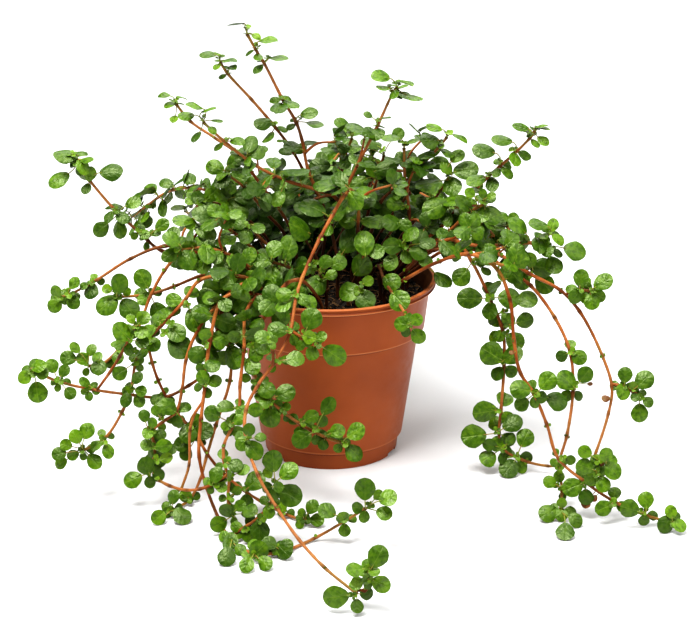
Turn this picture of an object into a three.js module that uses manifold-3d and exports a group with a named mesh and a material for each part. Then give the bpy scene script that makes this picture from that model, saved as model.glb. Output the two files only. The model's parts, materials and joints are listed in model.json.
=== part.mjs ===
// A potted trailing pilea in a plastic nursery pot, in millimetres, +Z up.
// The origin is on the pot's axis, on the surface that the pot stands on. +X is the plant's right
// and -Y its front, as seen by a viewer who stands before it.
import * as THREE from "three";
import { mergeVertices } from "three/addons/utils/BufferGeometryUtils.js";
import Module from "manifold-3d";

const wasm = await Module();
wasm.setup();
const { Manifold } = wasm;

// ---- Driving dimensions, mm ----

const POT = {
  rimRadius: 60, // a 12 cm pot
  height: 103,
  lipHeight: 4,
  lipWidth: 2.6,
  underLipRadius: 56.5,
  ledgeRadius: 53.6, // the wide upper band ends here, on a ledge that a stacked pot rests on
  ledgeHeight: 74,
  belowLedgeRadius: 50.3,
  footBandHeight: 10,
  aboveFootRadius: 41.2,
  footRadius: 38.2,
  footRingWidth: 3,
  baseRaise: 2, // the base plate's underside stands this high
  baseThickness: 1.4,
  wall: 1.3,
  edge: 0.8, // the slope that breaks each edge and step
  sides: 48,
};
const DRAINS = {
  count: 6,
  firstAngle: -23,
  radius: 2.6,
  sides: 10,
  ringRadius: 29,
  notchEvery: 2, // the foot ring is cut away beside every second hole, so that water runs out
  notchWidth: 11,
  notchHeight: 1.8,
  notchReach: 12,
};
const SOIL = { edgeHeight: 92.5, centreHeight: 95, rings: [0.85, 0.65, 0.4, 0.2], sides: 32 };
const GAP = 0.3; // clearance between pieces that touch on the real plant
const MERGE = 1e-3; // points closer than this are one
const SLIVER = 0.02; // edges shorter than this are merged away after the unions
const FOOT_GAP = GAP + 0.15; // stems start this far above the soil's rounded top
const STEM = {
  radius: 0.9,
  sides: 4,
  step: 15, // length of one straight run
  placeStep: 2, // spacing of the places that leaves and sprigs can grow from
  bareSteps: 4, // places at the foot that no sprig grows from
  rise: 6, // a stem first goes straight up
  sprigStep: 1.5, // each pick of a sprig lies this much before the last
  lowest: 2, // the lowest height of a pick
  clear: 3, // between the middles of two stems
};
const NUDGES = [0, 2, -2, 4, -4, 6, -6, 8, -8, 10, -10, 12, -12, 15, -15]; // tried in turn, in depth
const LEAF = {
  thickness: 0.9,
  widest: [[0.22, 0.38], [0.68, 0.47]], // half widths along the blade, both as shares of its length
  ridge: 0.35, // where it is thickest
  stalk: 1.4,
  smallest: 8.5, // shorter blades are too slight for a solid
  sizes: [1, 0.8, 0.62], // tried in turn where a blade is in the way of another piece
  shared: 0.06, // mm3 that two blades of one shoot may share at their stalks
  floorGap: 0.4,
  forward: [1.5, 5.5], // how far before its stem a blade shows
  roll: [-0.4, 0.4], // radians about its midrib
};
const LIGHT = { high: 200, fade: 100, lean: 0.62 }; // leaves above `high` look straight up

// ---- The pot ----

// A solid of revolution about +Z from [radius, height] points.
function turned(profile, sides) {
  const points = profile.map(([radius, height]) => new THREE.Vector2(radius, height));
  return solid(new THREE.LatheGeometry(points, sides).rotateX(Math.PI / 2));
}

// A three.js geometry as a solid. Only its positions are kept, with the shared ones merged.
function solid(geometry, merge = MERGE / 10) {
  const plain = geometry.index ? geometry.toNonIndexed() : geometry;
  plain.deleteAttribute("normal");
  plain.deleteAttribute("uv");
  const merged = mergeVertices(plain, merge);
  return new Manifold(
    new wasm.Mesh({
      numProp: 3,
      vertProperties: new Float32Array(merged.attributes.position.array),
      triVerts: new Uint32Array(merged.index.array),
    }),
  );
}

function makePot() {
  const { edge, wall, height, rimRadius, underLipRadius, ledgeHeight, ledgeRadius } = POT;
  const lipBottom = height - POT.lipHeight;
  const baseTop = POT.baseRaise + POT.baseThickness;
  const insideFoot = POT.footRadius - POT.footRingWidth;
  const outside = [
    [0, POT.baseRaise],
    [insideFoot - edge, POT.baseRaise],
    [insideFoot, 0],
    [POT.footRadius - edge, 0],
    [POT.footRadius, edge],
    [POT.footRadius + 1.5 * edge, POT.footBandHeight - edge],
    [POT.aboveFootRadius, POT.footBandHeight],
    [POT.belowLedgeRadius, ledgeHeight - 1.5 * edge],
    [ledgeRadius - edge, ledgeHeight],
    [ledgeRadius, ledgeHeight + 1.5 * edge],
    [underLipRadius, lipBottom],
    [rimRadius - edge, lipBottom],
    [rimRadius, lipBottom + edge],
    [rimRadius, height - edge],
    [rimRadius - edge, height],
    [rimRadius - POT.lipWidth, height],
  ];
  const inside = [
    [underLipRadius - wall, lipBottom],
    [ledgeRadius - wall, ledgeHeight + 2 * edge],
    [POT.belowLedgeRadius - wall, ledgeHeight - 2 * edge],
    [POT.aboveFootRadius - wall, POT.footBandHeight + edge],
    [POT.footRadius - wall, baseTop],
    [0, baseTop],
  ];
  const shell = turned([...outside, ...inside], POT.sides);
  const cuts = [];
  for (let k = 0; k < DRAINS.count; k += 1) {
    const angle = THREE.MathUtils.degToRad(DRAINS.firstAngle + (k * 360) / DRAINS.count);
    const hole = new THREE.CylinderGeometry(DRAINS.radius, DRAINS.radius, 2 * baseTop + 2, DRAINS.sides);
    cuts.push(solid(hole.rotateX(Math.PI / 2).translate(DRAINS.ringRadius, 0, 0).rotateZ(angle)));
    if (k % DRAINS.notchEvery > 0) continue;
    const notch = new THREE.BoxGeometry(DRAINS.notchReach, DRAINS.notchWidth, 2 * DRAINS.notchHeight);
    cuts.push(solid(notch.translate(POT.footRadius, 0, 0).rotateZ(angle)));
  }
  return shell.subtract(Manifold.union(cuts));
}

// ---- The soil, with the root ball in it ----

function soilHeight(x, y) {
  const share = (x * x + y * y) / POT.ledgeRadius ** 2;
  return SOIL.centreHeight - (SOIL.centreHeight - SOIL.edgeHeight) * Math.min(1, share);
}

function makeSoil() {
  const { edge, ledgeHeight, ledgeRadius } = POT;
  const inset = POT.wall + GAP + edge;
  const bottom = POT.baseRaise + POT.baseThickness + GAP;
  const bandHeight = POT.height - POT.lipHeight - ledgeHeight;
  const flare = (POT.underLipRadius - ledgeRadius) / bandHeight;
  const topRadius = ledgeRadius + flare * (SOIL.edgeHeight - ledgeHeight) - inset;
  const radii = SOIL.rings.map((share) => share * topRadius);
  const surface = radii.map((radius) => [radius, soilHeight(radius, 0)]);
  return turned(
    [
      [0, bottom],
      [POT.footRadius - inset, bottom],
      [POT.aboveFootRadius - inset, POT.footBandHeight + 2 * edge],
      [POT.belowLedgeRadius - inset, ledgeHeight - edge],
      [ledgeRadius - inset, ledgeHeight + 3 * edge],
      [topRadius, SOIL.edgeHeight],
      ...surface,
      [0, SOIL.centreHeight],
    ],
    SOIL.sides,
  );
}

// ---- The view that the shoots were picked in ----

// A viewer one metre off looks slightly down on the plant. Shoots are given as points of that view,
// in pixels of a 700 by 634 picture, each with its depth behind (+) or before (-) the pot's axis.
const VIEW = { centre: [350, 317], focal: 1750, distance: 1000, elevation: 19.5, target: [11, 0, 78] };
const UP = new THREE.Vector3(0, 0, 1);
const TILT = THREE.MathUtils.degToRad(VIEW.elevation);
const FORWARD = new THREE.Vector3(0, Math.cos(TILT), -Math.sin(TILT));
const UPWARD = new THREE.Vector3(0, Math.sin(TILT), Math.cos(TILT));
const EYE = new THREE.Vector3(...VIEW.target).addScaledVector(FORWARD, -VIEW.distance);

// The point at a depth on the sight line through a pixel. One that would lie below the surface that
// the pot stands on comes forward along its sight line until it lies on that surface.
function placed(across, down, depth, lowest = STEM.lowest) {
  const ray = FORWARD.clone()
    .multiplyScalar(VIEW.focal)
    .addScaledVector(UPWARD, VIEW.centre[1] - down);
  ray.x += across - VIEW.centre[0];
  const point = EYE.clone().addScaledVector(ray, (depth - EYE.y) / ray.y);
  if (point.z < lowest) point.copy(EYE).addScaledVector(ray, (lowest - EYE.z) / ray.z);
  return point;
}

// Millimetres that one pixel covers at a point.
function scaleAt(point) {
  return point.clone().sub(EYE).dot(FORWARD) / VIEW.focal;
}

// The pixel that shows a point.
function seen(point) {
  const scale = scaleAt(point);
  const offset = point.clone().sub(EYE);
  return [VIEW.centre[0] + offset.x / scale, VIEW.centre[1] - offset.dot(UPWARD) / scale];
}

// ---- The shoots that the view shows ----

// root: where the shoot leaves the soil, [x, y] in mm. depth: at the first and the last pick, in mm.
// stem: picks along it. sprigs: side stems, each from its place on the stem. leaves: [across, down,
// length] of each blade's middle, in pixels.
const SEEN = {
  left: [
    {
      root: [-30, 3],
      depth: [-4, -14],
      stem: [
        [248, 262], [205, 256], [162, 251], [140, 233], [115, 210], [90, 181], [77, 164], [76, 158],
      ],
      leaves: [
        [66, 155, 24], [87, 160, 14], [74, 164, 9], [59, 179, 22], [90, 174, 15], [111, 171, 22],
        [109, 216, 13], [122, 217, 15], [101, 229, 17], [119, 229, 17], [133, 203, 16], [144, 234, 12],
        [156, 233, 9], [162, 225, 15],
      ],
    },
    {
      root: [-36, -6],
      depth: [-12, -30],
      stem: [[250, 272], [205, 250], [165, 246], [130, 259], [95, 281], [68, 295], [60, 297]],
      leaves: [[91, 291, 16], [74, 283, 13], [73, 302, 14], [56, 292, 13], [55, 305, 15], [84, 286, 9]],
    },
    {
      root: [-33, -15],
      depth: [-24, -46],
      stem: [[248, 284], [222, 272], [200, 276], [175, 286], [150, 294], [120, 297]],
      leaves: [
        [107, 304, 23], [119, 284, 20], [107, 289, 10], [129, 308, 21], [127, 292, 9], [143, 279, 20],
        [144, 299, 14], [158, 311, 18],
      ],
    },
    {
      root: [-27, -20],
      depth: [-28, -62],
      stem: [
        [243, 272], [210, 256], [182, 252], [165, 270], [150, 297], [138, 328], [120, 348], [102, 364],
        [88, 366],
      ],
      leaves: [
        [68, 358, 16], [75, 348, 12], [91, 350, 12], [83, 359, 13], [99, 366, 16], [118, 357, 14],
      ],
    },
    {
      root: [-22, -29],
      depth: [-50, -72],
      stem: [
        [258, 290], [236, 288], [222, 310], [215, 340], [205, 372], [188, 386], [165, 397], [125, 394],
        [90, 389], [60, 382], [33, 371],
      ],
      sprigs: [
        [[97, 390], [110, 372], [120, 356], [128, 340], [135, 328]],
      ],
      leaves: [
        [38, 366, 15], [25, 377, 14], [42, 373, 13], [52, 366, 14], [37, 392, 20], [64, 371, 13],
        [70, 393, 13], [89, 396, 9], [85, 382, 12], [158, 399, 15], [122, 332, 21], [131, 319, 10],
        [141, 332, 14], [143, 318, 14], [142, 342, 14],
      ],
    },
    {
      root: [-15, -34],
      depth: [-42, -74],
      stem: [
        [262, 282], [236, 276], [200, 280], [185, 300], [167, 320], [150, 338], [136, 362], [131, 390],
        [122, 412], [105, 438], [84, 450],
      ],
      sprigs: [
        [[148, 342], [152, 362], [158, 380], [168, 400], [177, 413], [188, 425], [197, 436]],
      ],
      leaves: [
        [176, 332, 21], [179, 347, 25], [195, 320, 24], [153, 344, 15], [142, 354, 13], [123, 345, 12],
        [120, 373, 15], [129, 389, 12], [141, 391, 12], [126, 399, 15], [139, 401, 13], [137, 378, 13],
        [87, 431, 16], [76, 437, 14], [66, 445, 12], [59, 454, 14], [61, 463, 13], [73, 455, 12],
        [94, 461, 17], [108, 451, 15], [96, 445, 12], [188, 433, 19], [204, 431, 18], [182, 444, 16],
        [172, 449, 12], [186, 454, 13], [161, 459, 17],
      ],
    },
    {
      root: [-8, -38],
      depth: [-50, -84],
      stem: [
        [266, 290], [244, 284], [222, 300], [198, 330], [186, 360], [182, 390], [176, 412], [164, 421],
        [152, 432], [155, 448], [153, 462], [150, 472],
      ],
      leaves: [
        [144, 416, 12], [156, 411, 11], [168, 407, 18], [152, 423, 11], [148, 433, 12], [160, 434, 12],
        [147, 445, 13], [163, 446, 15], [146, 466, 18], [133, 479, 18], [150, 482, 12], [166, 458, 12],
      ],
    },
  ],
  top: [
    {
      root: [-6, 8],
      depth: [8, -4],
      stem: [
        [325, 215], [308, 170], [302, 140], [296, 122], [283, 100], [264, 63], [256, 50], [247, 34],
      ],
      leaves: [
        [236, 24, 18], [246, 25, 9], [256, 36, 10], [268, 40, 18], [258, 57, 12], [279, 58, 18],
        [279, 107, 20], [291, 103, 18], [309, 113, 17], [315, 124, 17],
      ],
    },
    {
      root: [-12, 18],
      depth: [22, 8],
      stem: [[328, 225], [308, 180], [292, 150], [275, 127], [252, 100], [228, 74], [220, 62]],
      leaves: [
        [208, 54, 16], [218, 54, 9], [217, 66, 11], [230, 60, 14], [232, 67, 12], [268, 137, 16],
        [263, 123, 18], [282, 141, 10],
      ],
    },
    {
      root: [-2, -8],
      depth: [-12, -22],
      stem: [[345, 235], [338, 200], [320, 191], [285, 180], [255, 165], [225, 142], [203, 122]],
      leaves: [
        [208, 109, 15], [195, 106, 18], [186, 116, 16], [217, 121, 12], [196, 136, 14], [212, 130, 10],
        [237, 141, 15], [295, 171, 28], [278, 197, 18],
      ],
    },
    {
      root: [-18, -2],
      depth: [-2, -10],
      stem: [[290, 228], [263, 188], [250, 170], [235, 152], [215, 138], [190, 121], [176, 104]],
      leaves: [
        [164, 95, 12], [182, 97, 14], [170, 104, 12], [174, 119, 10], [240, 158, 14], [265, 183, 18],
      ],
    },
    {
      root: [4, -15],
      depth: [-20, -8],
      stem: [[338, 262], [332, 222], [345, 191], [361, 158], [377, 127], [393, 93], [397, 88]],
      leaves: [
        [383, 88, 15], [381, 76, 18], [405, 82, 19], [404, 95, 16], [414, 97, 18], [368, 115, 9],
        [386, 118, 10], [313, 207, 26], [317, 221, 16], [328, 230, 13], [338, 213, 18], [347, 222, 16],
        [350, 240, 26], [325, 184, 23], [343, 176, 18], [366, 194, 21], [352, 201, 15],
      ],
    },
    {
      root: [22, 4],
      depth: [4, 0],
      stem: [[392, 255], [408, 235], [409, 210], [405, 180], [404, 148]],
      leaves: [
        [412, 141, 14], [391, 138, 18], [402, 142, 9], [395, 204, 16], [399, 193, 14], [416, 160, 14],
      ],
    },
    {
      root: [12, 16],
      depth: [14, 2],
      stem: [[372, 230], [382, 200], [405, 182], [420, 167], [440, 146], [447, 137]],
      leaves: [
        [434, 128, 16], [430, 140, 20], [449, 132, 10], [460, 137, 16], [441, 146, 9], [425, 155, 20],
      ],
    },
    {
      root: [28, 8],
      depth: [4, -8],
      stem: [[410, 250], [440, 228], [462, 203], [490, 175], [515, 153], [530, 138], [535, 131]],
      leaves: [
        [521, 127, 17], [541, 126, 13], [545, 129, 10], [543, 141, 13], [484, 150, 22], [502, 140, 20],
        [515, 159, 18], [507, 171, 15], [476, 180, 20], [492, 184, 18],
      ],
    },
  ],
  right: [
    {
      root: [36, 0],
      depth: [-6, -22],
      stem: [[405, 262], [435, 250], [470, 246], [500, 245], [525, 243], [545, 246]],
      sprigs: [
        [[528, 243], [540, 240], [549, 234]],
      ],
      leaves: [
        [519, 225, 21], [538, 224, 18], [553, 225, 14], [543, 236, 11], [508, 239, 19], [558, 239, 14],
        [547, 250, 15], [557, 253, 12], [575, 250, 22], [524, 257, 16], [554, 265, 19],
      ],
    },
    {
      root: [31, -12],
      depth: [-18, -46],
      stem: [
        [405, 272], [432, 246], [455, 240], [472, 262], [490, 299], [503, 332], [504, 365], [501, 410],
        [499, 433], [502, 448], [525, 461], [548, 466], [566, 466],
      ],
      leaves: [
        [487, 255, 24], [462, 276, 19], [443, 279, 20], [470, 298, 24], [509, 298, 21], [527, 299, 20],
        [486, 271, 11], [508, 319, 14], [525, 321, 17], [515, 341, 19], [492, 354, 23], [512, 355, 21],
        [485, 412, 24], [474, 436, 24], [512, 423, 20], [525, 438, 18], [510, 440, 11], [490, 445, 14],
        [488, 458, 17], [503, 458, 12], [509, 468, 20],
      ],
    },
    {
      root: [40, 6],
      depth: [-6, -104],
      stem: [
        [420, 256], [450, 245], [480, 252], [505, 268], [530, 285], [555, 318], [570, 352], [573, 390],
        [567, 435], [559, 465], [562, 490], [560, 512],
      ],
      leaves: [
        [579, 357, 16], [585, 375, 17], [568, 380, 21], [548, 519, 19], [561, 519, 13], [570, 512, 12],
        [575, 525, 15], [565, 535, 19], [562, 503, 10], [559, 476, 12], [550, 482, 13],
      ],
    },
    {
      root: [41, -3],
      depth: [-14, -72],
      stem: [
        [425, 262], [462, 244], [500, 255], [530, 274], [560, 290], [580, 312], [602, 355], [612, 388],
        [608, 415], [595, 455], [586, 478],
      ],
      sprigs: [
        [[611, 384], [622, 386], [632, 391], [639, 396]],
        [[566, 294], [580, 290], [590, 291]],
      ],
      leaves: [
        [625, 375, 15], [623, 391, 17], [644, 380, 20], [633, 385, 8], [635, 397, 9], [648, 402, 11],
        [640, 413, 18], [581, 278, 17], [603, 282, 20], [576, 296, 16], [592, 301, 16],
      ],
    },
    {
      root: [30, -22],
      depth: [-40, -114],
      stem: [
        [404, 280], [438, 262], [470, 254], [496, 268], [510, 300], [514, 340], [520, 372], [534, 394],
        [547, 425], [558, 458], [585, 482], [615, 502], [645, 515], [670, 522],
      ],
      sprigs: [
        [[589, 485], [597, 472], [604, 462]],
      ],
      leaves: [
        [521, 389, 20], [522, 404, 15], [547, 381, 19], [541, 397, 12], [557, 400, 21], [570, 460, 11],
        [585, 452, 14], [585, 467, 18], [606, 455, 15], [613, 470, 19], [603, 484, 16], [573, 487, 20],
        [586, 497, 15], [604, 508, 17], [630, 509, 19], [646, 500, 16], [671, 512, 13], [666, 531, 18],
        [679, 525, 15],
      ],
    },
    {
      root: [43, 13],
      depth: [8, -6],
      stem: [[430, 252], [460, 234], [492, 238], [516, 254], [532, 270]],
      leaves: [[542, 268, 22], [544, 284, 20], [522, 281, 18], [530, 260, 15], [497, 236, 17]],
    },
  ],
  front: [
    {
      root: [-30, -26],
      depth: [-44, -92],
      stem: [
        [254, 276], [240, 262], [230, 276], [228, 320], [231, 350], [230, 380], [216, 425], [207, 455],
        [200, 480], [190, 499], [173, 510],
      ],
      leaves: [
        [173, 497, 14], [186, 496, 13], [168, 512, 12], [159, 522, 15], [182, 520, 19], [207, 298, 20],
        [218, 307, 22], [226, 294, 13], [238, 290, 15], [250, 308, 22], [237, 304, 11], [250, 328, 20],
        [230, 330, 24], [244, 338, 14], [213, 341, 22], [233, 357, 25],
      ],
    },
    {
      root: [-19, -38],
      depth: [-52, -130],
      stem: [
        [262, 296], [240, 292], [222, 300], [210, 340], [205, 385], [201, 420], [199, 455], [206, 486],
        [218, 517], [232, 540], [255, 554], [280, 552], [315, 538], [345, 521], [366, 508],
      ],
      sprigs: [
        [[200, 440], [206, 452], [222, 472], [245, 491], [262, 502], [285, 514], [305, 521]],
        [[230, 537], [245, 527], [260, 516], [270, 504], [275, 486]],
        [[203, 400], [194, 415], [190, 430], [189, 465], [181, 490]],
      ],
      leaves: [
        [312, 507, 15], [302, 513, 9], [317, 520, 14], [300, 525, 9], [269, 512, 13], [282, 507, 11],
        [273, 461, 21], [288, 471, 20], [255, 481, 21], [268, 473, 11], [290, 495, 24], [278, 487, 12],
        [230, 546, 18], [250, 537, 18], [227, 562, 19], [258, 551, 20], [240, 552, 12], [247, 569, 16],
        [265, 567, 16], [283, 555, 20], [260, 530, 20], [270, 543, 15], [327, 511, 18], [343, 518, 14],
        [365, 489, 21], [388, 498, 18], [384, 513, 16], [378, 495, 11], [197, 354, 18], [212, 365, 16],
        [203, 378, 15], [214, 381, 14],
      ],
    },
    {
      root: [-10, -42],
      depth: [-58, -118],
      stem: [
        [274, 302], [258, 296], [246, 312], [244, 350], [240, 385], [239, 410], [232, 427], [224, 445],
        [224, 462], [229, 480], [228, 500], [234, 515],
      ],
      sprigs: [
        [[228, 476], [213, 484], [200, 489], [185, 490], [170, 486], [158, 480]],
      ],
      leaves: [
        [212, 414, 17], [226, 407, 17], [238, 420, 12], [243, 410, 13], [226, 426, 10], [255, 410, 15],
        [216, 475, 16], [235, 465, 15], [243, 470, 13], [229, 475, 10], [221, 487, 12], [237, 491, 10],
        [227, 511, 16], [240, 506, 12], [247, 514, 11], [219, 524, 17], [234, 521, 9],
      ],
    },
    {
      root: [16, -20],
      depth: [-26, -200],
      stem: [
        [358, 232], [358, 206], [351, 190], [344, 196], [333, 214], [320, 238], [308, 264], [297, 293],
        [290, 332], [275, 362], [258, 385], [246, 410], [246, 440], [258, 475], [277, 508], [300, 541],
        [325, 568], [357, 594],
      ],
      sprigs: [
        [[291, 330], [303, 338], [315, 342]],
        [[272, 366], [273, 352], [268, 341]],
        [[350, 590], [366, 590], [368, 578], [370, 570]],
      ],
      leaves: [
        [278, 329, 19], [263, 337, 15], [272, 345, 9], [295, 359, 18], [286, 360, 10], [309, 337, 14],
        [321, 337, 12], [312, 353, 14], [311, 319, 21], [334, 355, 24], [249, 430, 13], [243, 443, 15],
        [254, 450, 20], [260, 437, 11], [378, 557, 22], [355, 570, 18], [374, 572, 13], [357, 582, 12],
        [381, 584, 19], [336, 597, 25], [357, 606, 14], [303, 299, 14], [284, 305, 18],
      ],
    },
    {
      root: [-4, -46],
      depth: [-60, -88],
      stem: [
        [300, 280], [286, 284], [274, 304], [260, 325], [252, 345], [250, 362], [258, 382], [270, 400],
        [300, 424], [325, 437], [343, 443],
      ],
      leaves: [
        [266, 389, 19], [285, 393, 20], [270, 417, 20], [265, 403, 12], [286, 407, 9], [328, 406, 19],
        [311, 417, 15], [322, 422, 12], [302, 439, 20], [337, 431, 15], [356, 432, 19], [354, 452, 19],
        [346, 442, 9], [272, 295, 20], [268, 307, 19], [256, 353, 16], [252, 366, 18], [246, 378, 10],
      ],
    },
    {
      root: [20, -12],
      depth: [-24, -72],
      stem: [[378, 266], [384, 280], [394, 296], [405, 314], [409, 325]],
      leaves: [[391, 281, 18], [399, 300, 22], [403, 324, 15], [416, 320, 13], [418, 336, 16]],
    },
  ],
  crown: [
    {
      root: [-38, 10],
      depth: [12, 2],
      stem: [[285, 238], [265, 212], [245, 188], [228, 175]],
      leaves: [
        [215, 167, 18], [235, 161, 18], [222, 175, 14], [237, 170, 13], [252, 181, 13], [230, 187, 16],
      ],
    },
    {
      root: [-42, -1],
      depth: [0, -8],
      stem: [[270, 246], [250, 222], [226, 205], [206, 202]],
      leaves: [
        [198, 197, 14], [212, 194, 18], [222, 199, 18], [207, 205, 14], [235, 208, 26], [244, 196, 20],
        [190, 201, 10],
      ],
    },
    {
      root: [-43, -12],
      depth: [-16, -26],
      stem: [[262, 262], [238, 236], [214, 222], [194, 226]],
      leaves: [
        [205, 215, 24], [205, 230, 24], [183, 220, 20], [191, 224, 14], [227, 222, 14], [190, 245, 16],
      ],
    },
    {
      root: [-40, -22],
      depth: [-30, -42],
      stem: [[258, 276], [232, 256], [206, 248], [181, 249]],
      leaves: [
        [172, 239, 18], [170, 255, 18], [187, 259, 22], [207, 253, 22], [203, 266, 16], [222, 270, 14],
        [235, 262, 16],
      ],
    },
    {
      root: [-20, -20],
      depth: [-26, -30],
      stem: [[286, 262], [262, 240], [250, 226]],
      leaves: [[240, 225, 11], [258, 228, 15], [246, 236, 17], [230, 240, 14]],
    },
    {
      root: [-10, -26],
      depth: [-36, -44],
      stem: [[300, 275], [286, 266], [272, 262]],
      leaves: [
        [262, 261, 17], [274, 249, 18], [289, 250, 21], [272, 275, 18], [251, 275, 11], [285, 285, 18],
        [286, 295, 13],
      ],
    },
    {
      root: [-6, -14],
      depth: [-22, -26],
      stem: [[318, 262], [308, 244], [303, 236]],
      leaves: [[301, 228, 28], [289, 239, 16], [305, 269, 14], [294, 272, 14]],
    },
    {
      root: [-2, -32],
      depth: [-38, -44],
      stem: [[322, 280], [320, 274]],
      leaves: [[318, 284, 22], [325, 262, 14], [338, 263, 17], [331, 275, 12]],
    },
    {
      root: [10, -28],
      depth: [-36, -46],
      stem: [[358, 272], [364, 254]],
      leaves: [[364, 243, 24], [376, 252, 16], [361, 266, 25]],
    },
    {
      root: [14, -38],
      depth: [-44, -48],
      stem: [[360, 290], [361, 287]],
      leaves: [[350, 292, 21], [365, 299, 21], [368, 281, 11]],
    },
    {
      root: [28, -18],
      depth: [-28, -34],
      stem: [[382, 270], [395, 256], [402, 247]],
      leaves: [
        [393, 246, 20], [402, 244, 12], [410, 234, 18], [406, 257, 14], [418, 252, 18], [425, 260, 16],
        [427, 243, 17], [391, 262, 18],
      ],
    },
    {
      root: [14, -2],
      depth: [-4, -10],
      stem: [[375, 255], [388, 236], [395, 226]],
      leaves: [[379, 222, 18], [392, 222, 20], [404, 225, 15]],
    },
    {
      root: [4, 22],
      depth: [20, 10],
      stem: [[355, 238], [362, 205], [372, 178]],
      leaves: [[370, 168, 22], [385, 168, 22], [381, 207, 22], [359, 182, 18]],
    },
    {
      root: [8, 34],
      depth: [32, 20],
      stem: [[365, 222], [374, 190], [384, 155]],
      leaves: [[370, 143, 18], [398, 134, 14], [352, 147, 20], [355, 157, 20], [392, 160, 16]],
    },
    {
      root: [-4, 32],
      depth: [32, 18],
      stem: [[345, 225], [340, 190], [344, 160], [352, 138]],
      leaves: [[352, 130, 10], [342, 124, 16], [330, 150, 18], [320, 165, 20], [345, 163, 16]],
    },
    {
      root: [20, 26],
      depth: [26, 12],
      stem: [[385, 225], [408, 195], [425, 170]],
      leaves: [[415, 172, 20], [438, 163, 20], [434, 152, 16], [420, 183, 14]],
    },
    {
      root: [32, 20],
      depth: [18, 4],
      stem: [[402, 236], [430, 205], [448, 180]],
      leaves: [[457, 156, 16], [466, 170, 24], [429, 184, 27], [452, 186, 22], [447, 168, 14]],
    },
    {
      root: [37, 12],
      depth: [10, -2],
      stem: [[412, 244], [434, 222], [448, 205]],
      leaves: [[436, 207, 27], [452, 201, 22], [456, 222, 18], [464, 212, 12]],
    },
    {
      root: [44, 5],
      depth: [4, -8],
      stem: [[424, 250], [450, 230], [470, 212], [484, 204]],
      leaves: [
        [480, 215, 20], [489, 222, 14], [491, 196, 10], [483, 194, 10], [470, 193, 11], [474, 227, 14],
      ],
    },
  ],
};

// ---- The shoots on the far side ----

// They fan out over the back of the pot. Every third one arches over the rim and trails behind the
// pot, and the rest stand up, lower than the shoots before them.
const FAR = {
  count: 10,
  fan: [34, 146],
  trailFan: [71, 112],
  trailEvery: 3,
  reach: [80, 112],
  trailReach: [96, 124],
  crest: [116, 138],
  sway: [-16, 16],
  rootRadius: [40, 47],
  nodes: 7,
  leafyFrom: 0.3, // the share of the stem that is bare
  turn: 1.3, // radians from one pair of leaves to the next
  atTip: 4,
  leaf: [8, 12.5],
  stalk: 2.2,
  leafAhead: 0.25, // how far leaves lean along the stem, and upwards
  leafRise: 0.3,
};

// A repeatable number from 0 to 1 for a pair of counters.
function chance(a, b) {
  const wave = Math.sin(a * 127.1 + b * 311.7) * 43758.5453;
  return wave - Math.floor(wave);
}

function between([low, high], share) {
  return low + (high - low) * share;
}

// Where a far shoot heads, and the points of its stem. A nudge turns it by degrees.
function farTrails(index) {
  return index % FAR.trailEvery === 1;
}

function farHeading(index, nudge) {
  const fan = farTrails(index) ? FAR.trailFan : FAR.fan;
  const angle = between(fan, (index + 0.5) / FAR.count) + nudge;
  return new THREE.Vector3(1, 0, 0).applyAxisAngle(UP, THREE.MathUtils.degToRad(angle));
}

function farStem(index, nudge) {
  const heading = farHeading(index, nudge);
  const trails = farTrails(index);
  const reach = between(trails ? FAR.trailReach : FAR.reach, chance(index, 1));
  const crest = between(FAR.crest, trails ? 0 : chance(index, 2));
  const rootRadius = FAR.rootRadius[index % 2];
  const sideways = new THREE.Vector3().crossVectors(UP, heading);
  const sway = between(FAR.sway, chance(index, 3));
  const at = (radius, height) =>
    heading
      .clone()
      .multiplyScalar(radius)
      .addScaledVector(sideways, sway * ((radius - rootRadius) / reach) ** 2)
      .setZ(height);
  // Over the rim, up to the crest, and then level or down.
  return [
    at(rootRadius, soilHeight(rootRadius, 0) + FOOT_GAP),
    at(rootRadius + 2, POT.height + 4),
    at(rootRadius + 0.3 * reach, crest),
    at(rootRadius + 0.65 * reach, crest * (trails ? 0.6 : 1)),
    at(rootRadius + reach, crest * (trails ? 0.08 : 0.82)),
  ];
}

// ---- Stems ----

// A smooth line through points, with evenly spaced places along it.
function lineThrough(points) {
  const curve = new THREE.CatmullRomCurve3(points, false, "centripetal");
  const length = curve.getLength();
  const steps = Math.max(2, Math.ceil(length / STEM.step));
  const places = curve.getSpacedPoints(Math.ceil(length / STEM.placeStep));
  return { curve, steps, axis: curve.getSpacedPoints(steps), places };
}

// The nearest point to a place on the straight runs that a tube is made of.
function onTube(place, lines) {
  let best = null;
  for (const { axis } of lines) {
    for (let i = 1; i < axis.length; i += 1) {
      const run = new THREE.Line3(axis[i - 1], axis[i]);
      const found = run.closestPointToPoint(place, true, new THREE.Vector3());
      if (!best || found.distanceTo(place) < best.distanceTo(place)) best = found;
    }
  }
  return best;
}

// The share of a picked line's length at each of its picks.
function shares(picks) {
  const lengths = [0];
  for (let i = 1; i < picks.length; i += 1) {
    const step = Math.hypot(picks[i][0] - picks[i - 1][0], picks[i][1] - picks[i - 1][1]);
    lengths.push(lengths[i - 1] + step);
  }
  return lengths.map((length) => length / lengths.at(-1));
}

function nearest(points, across, down) {
  const gaps = points.map((point) => {
    const [a, d] = seen(point);
    return Math.hypot(a - across, d - down);
  });
  const index = gaps.indexOf(Math.min(...gaps));
  return { point: points[index], gap: gaps[index] };
}

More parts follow.
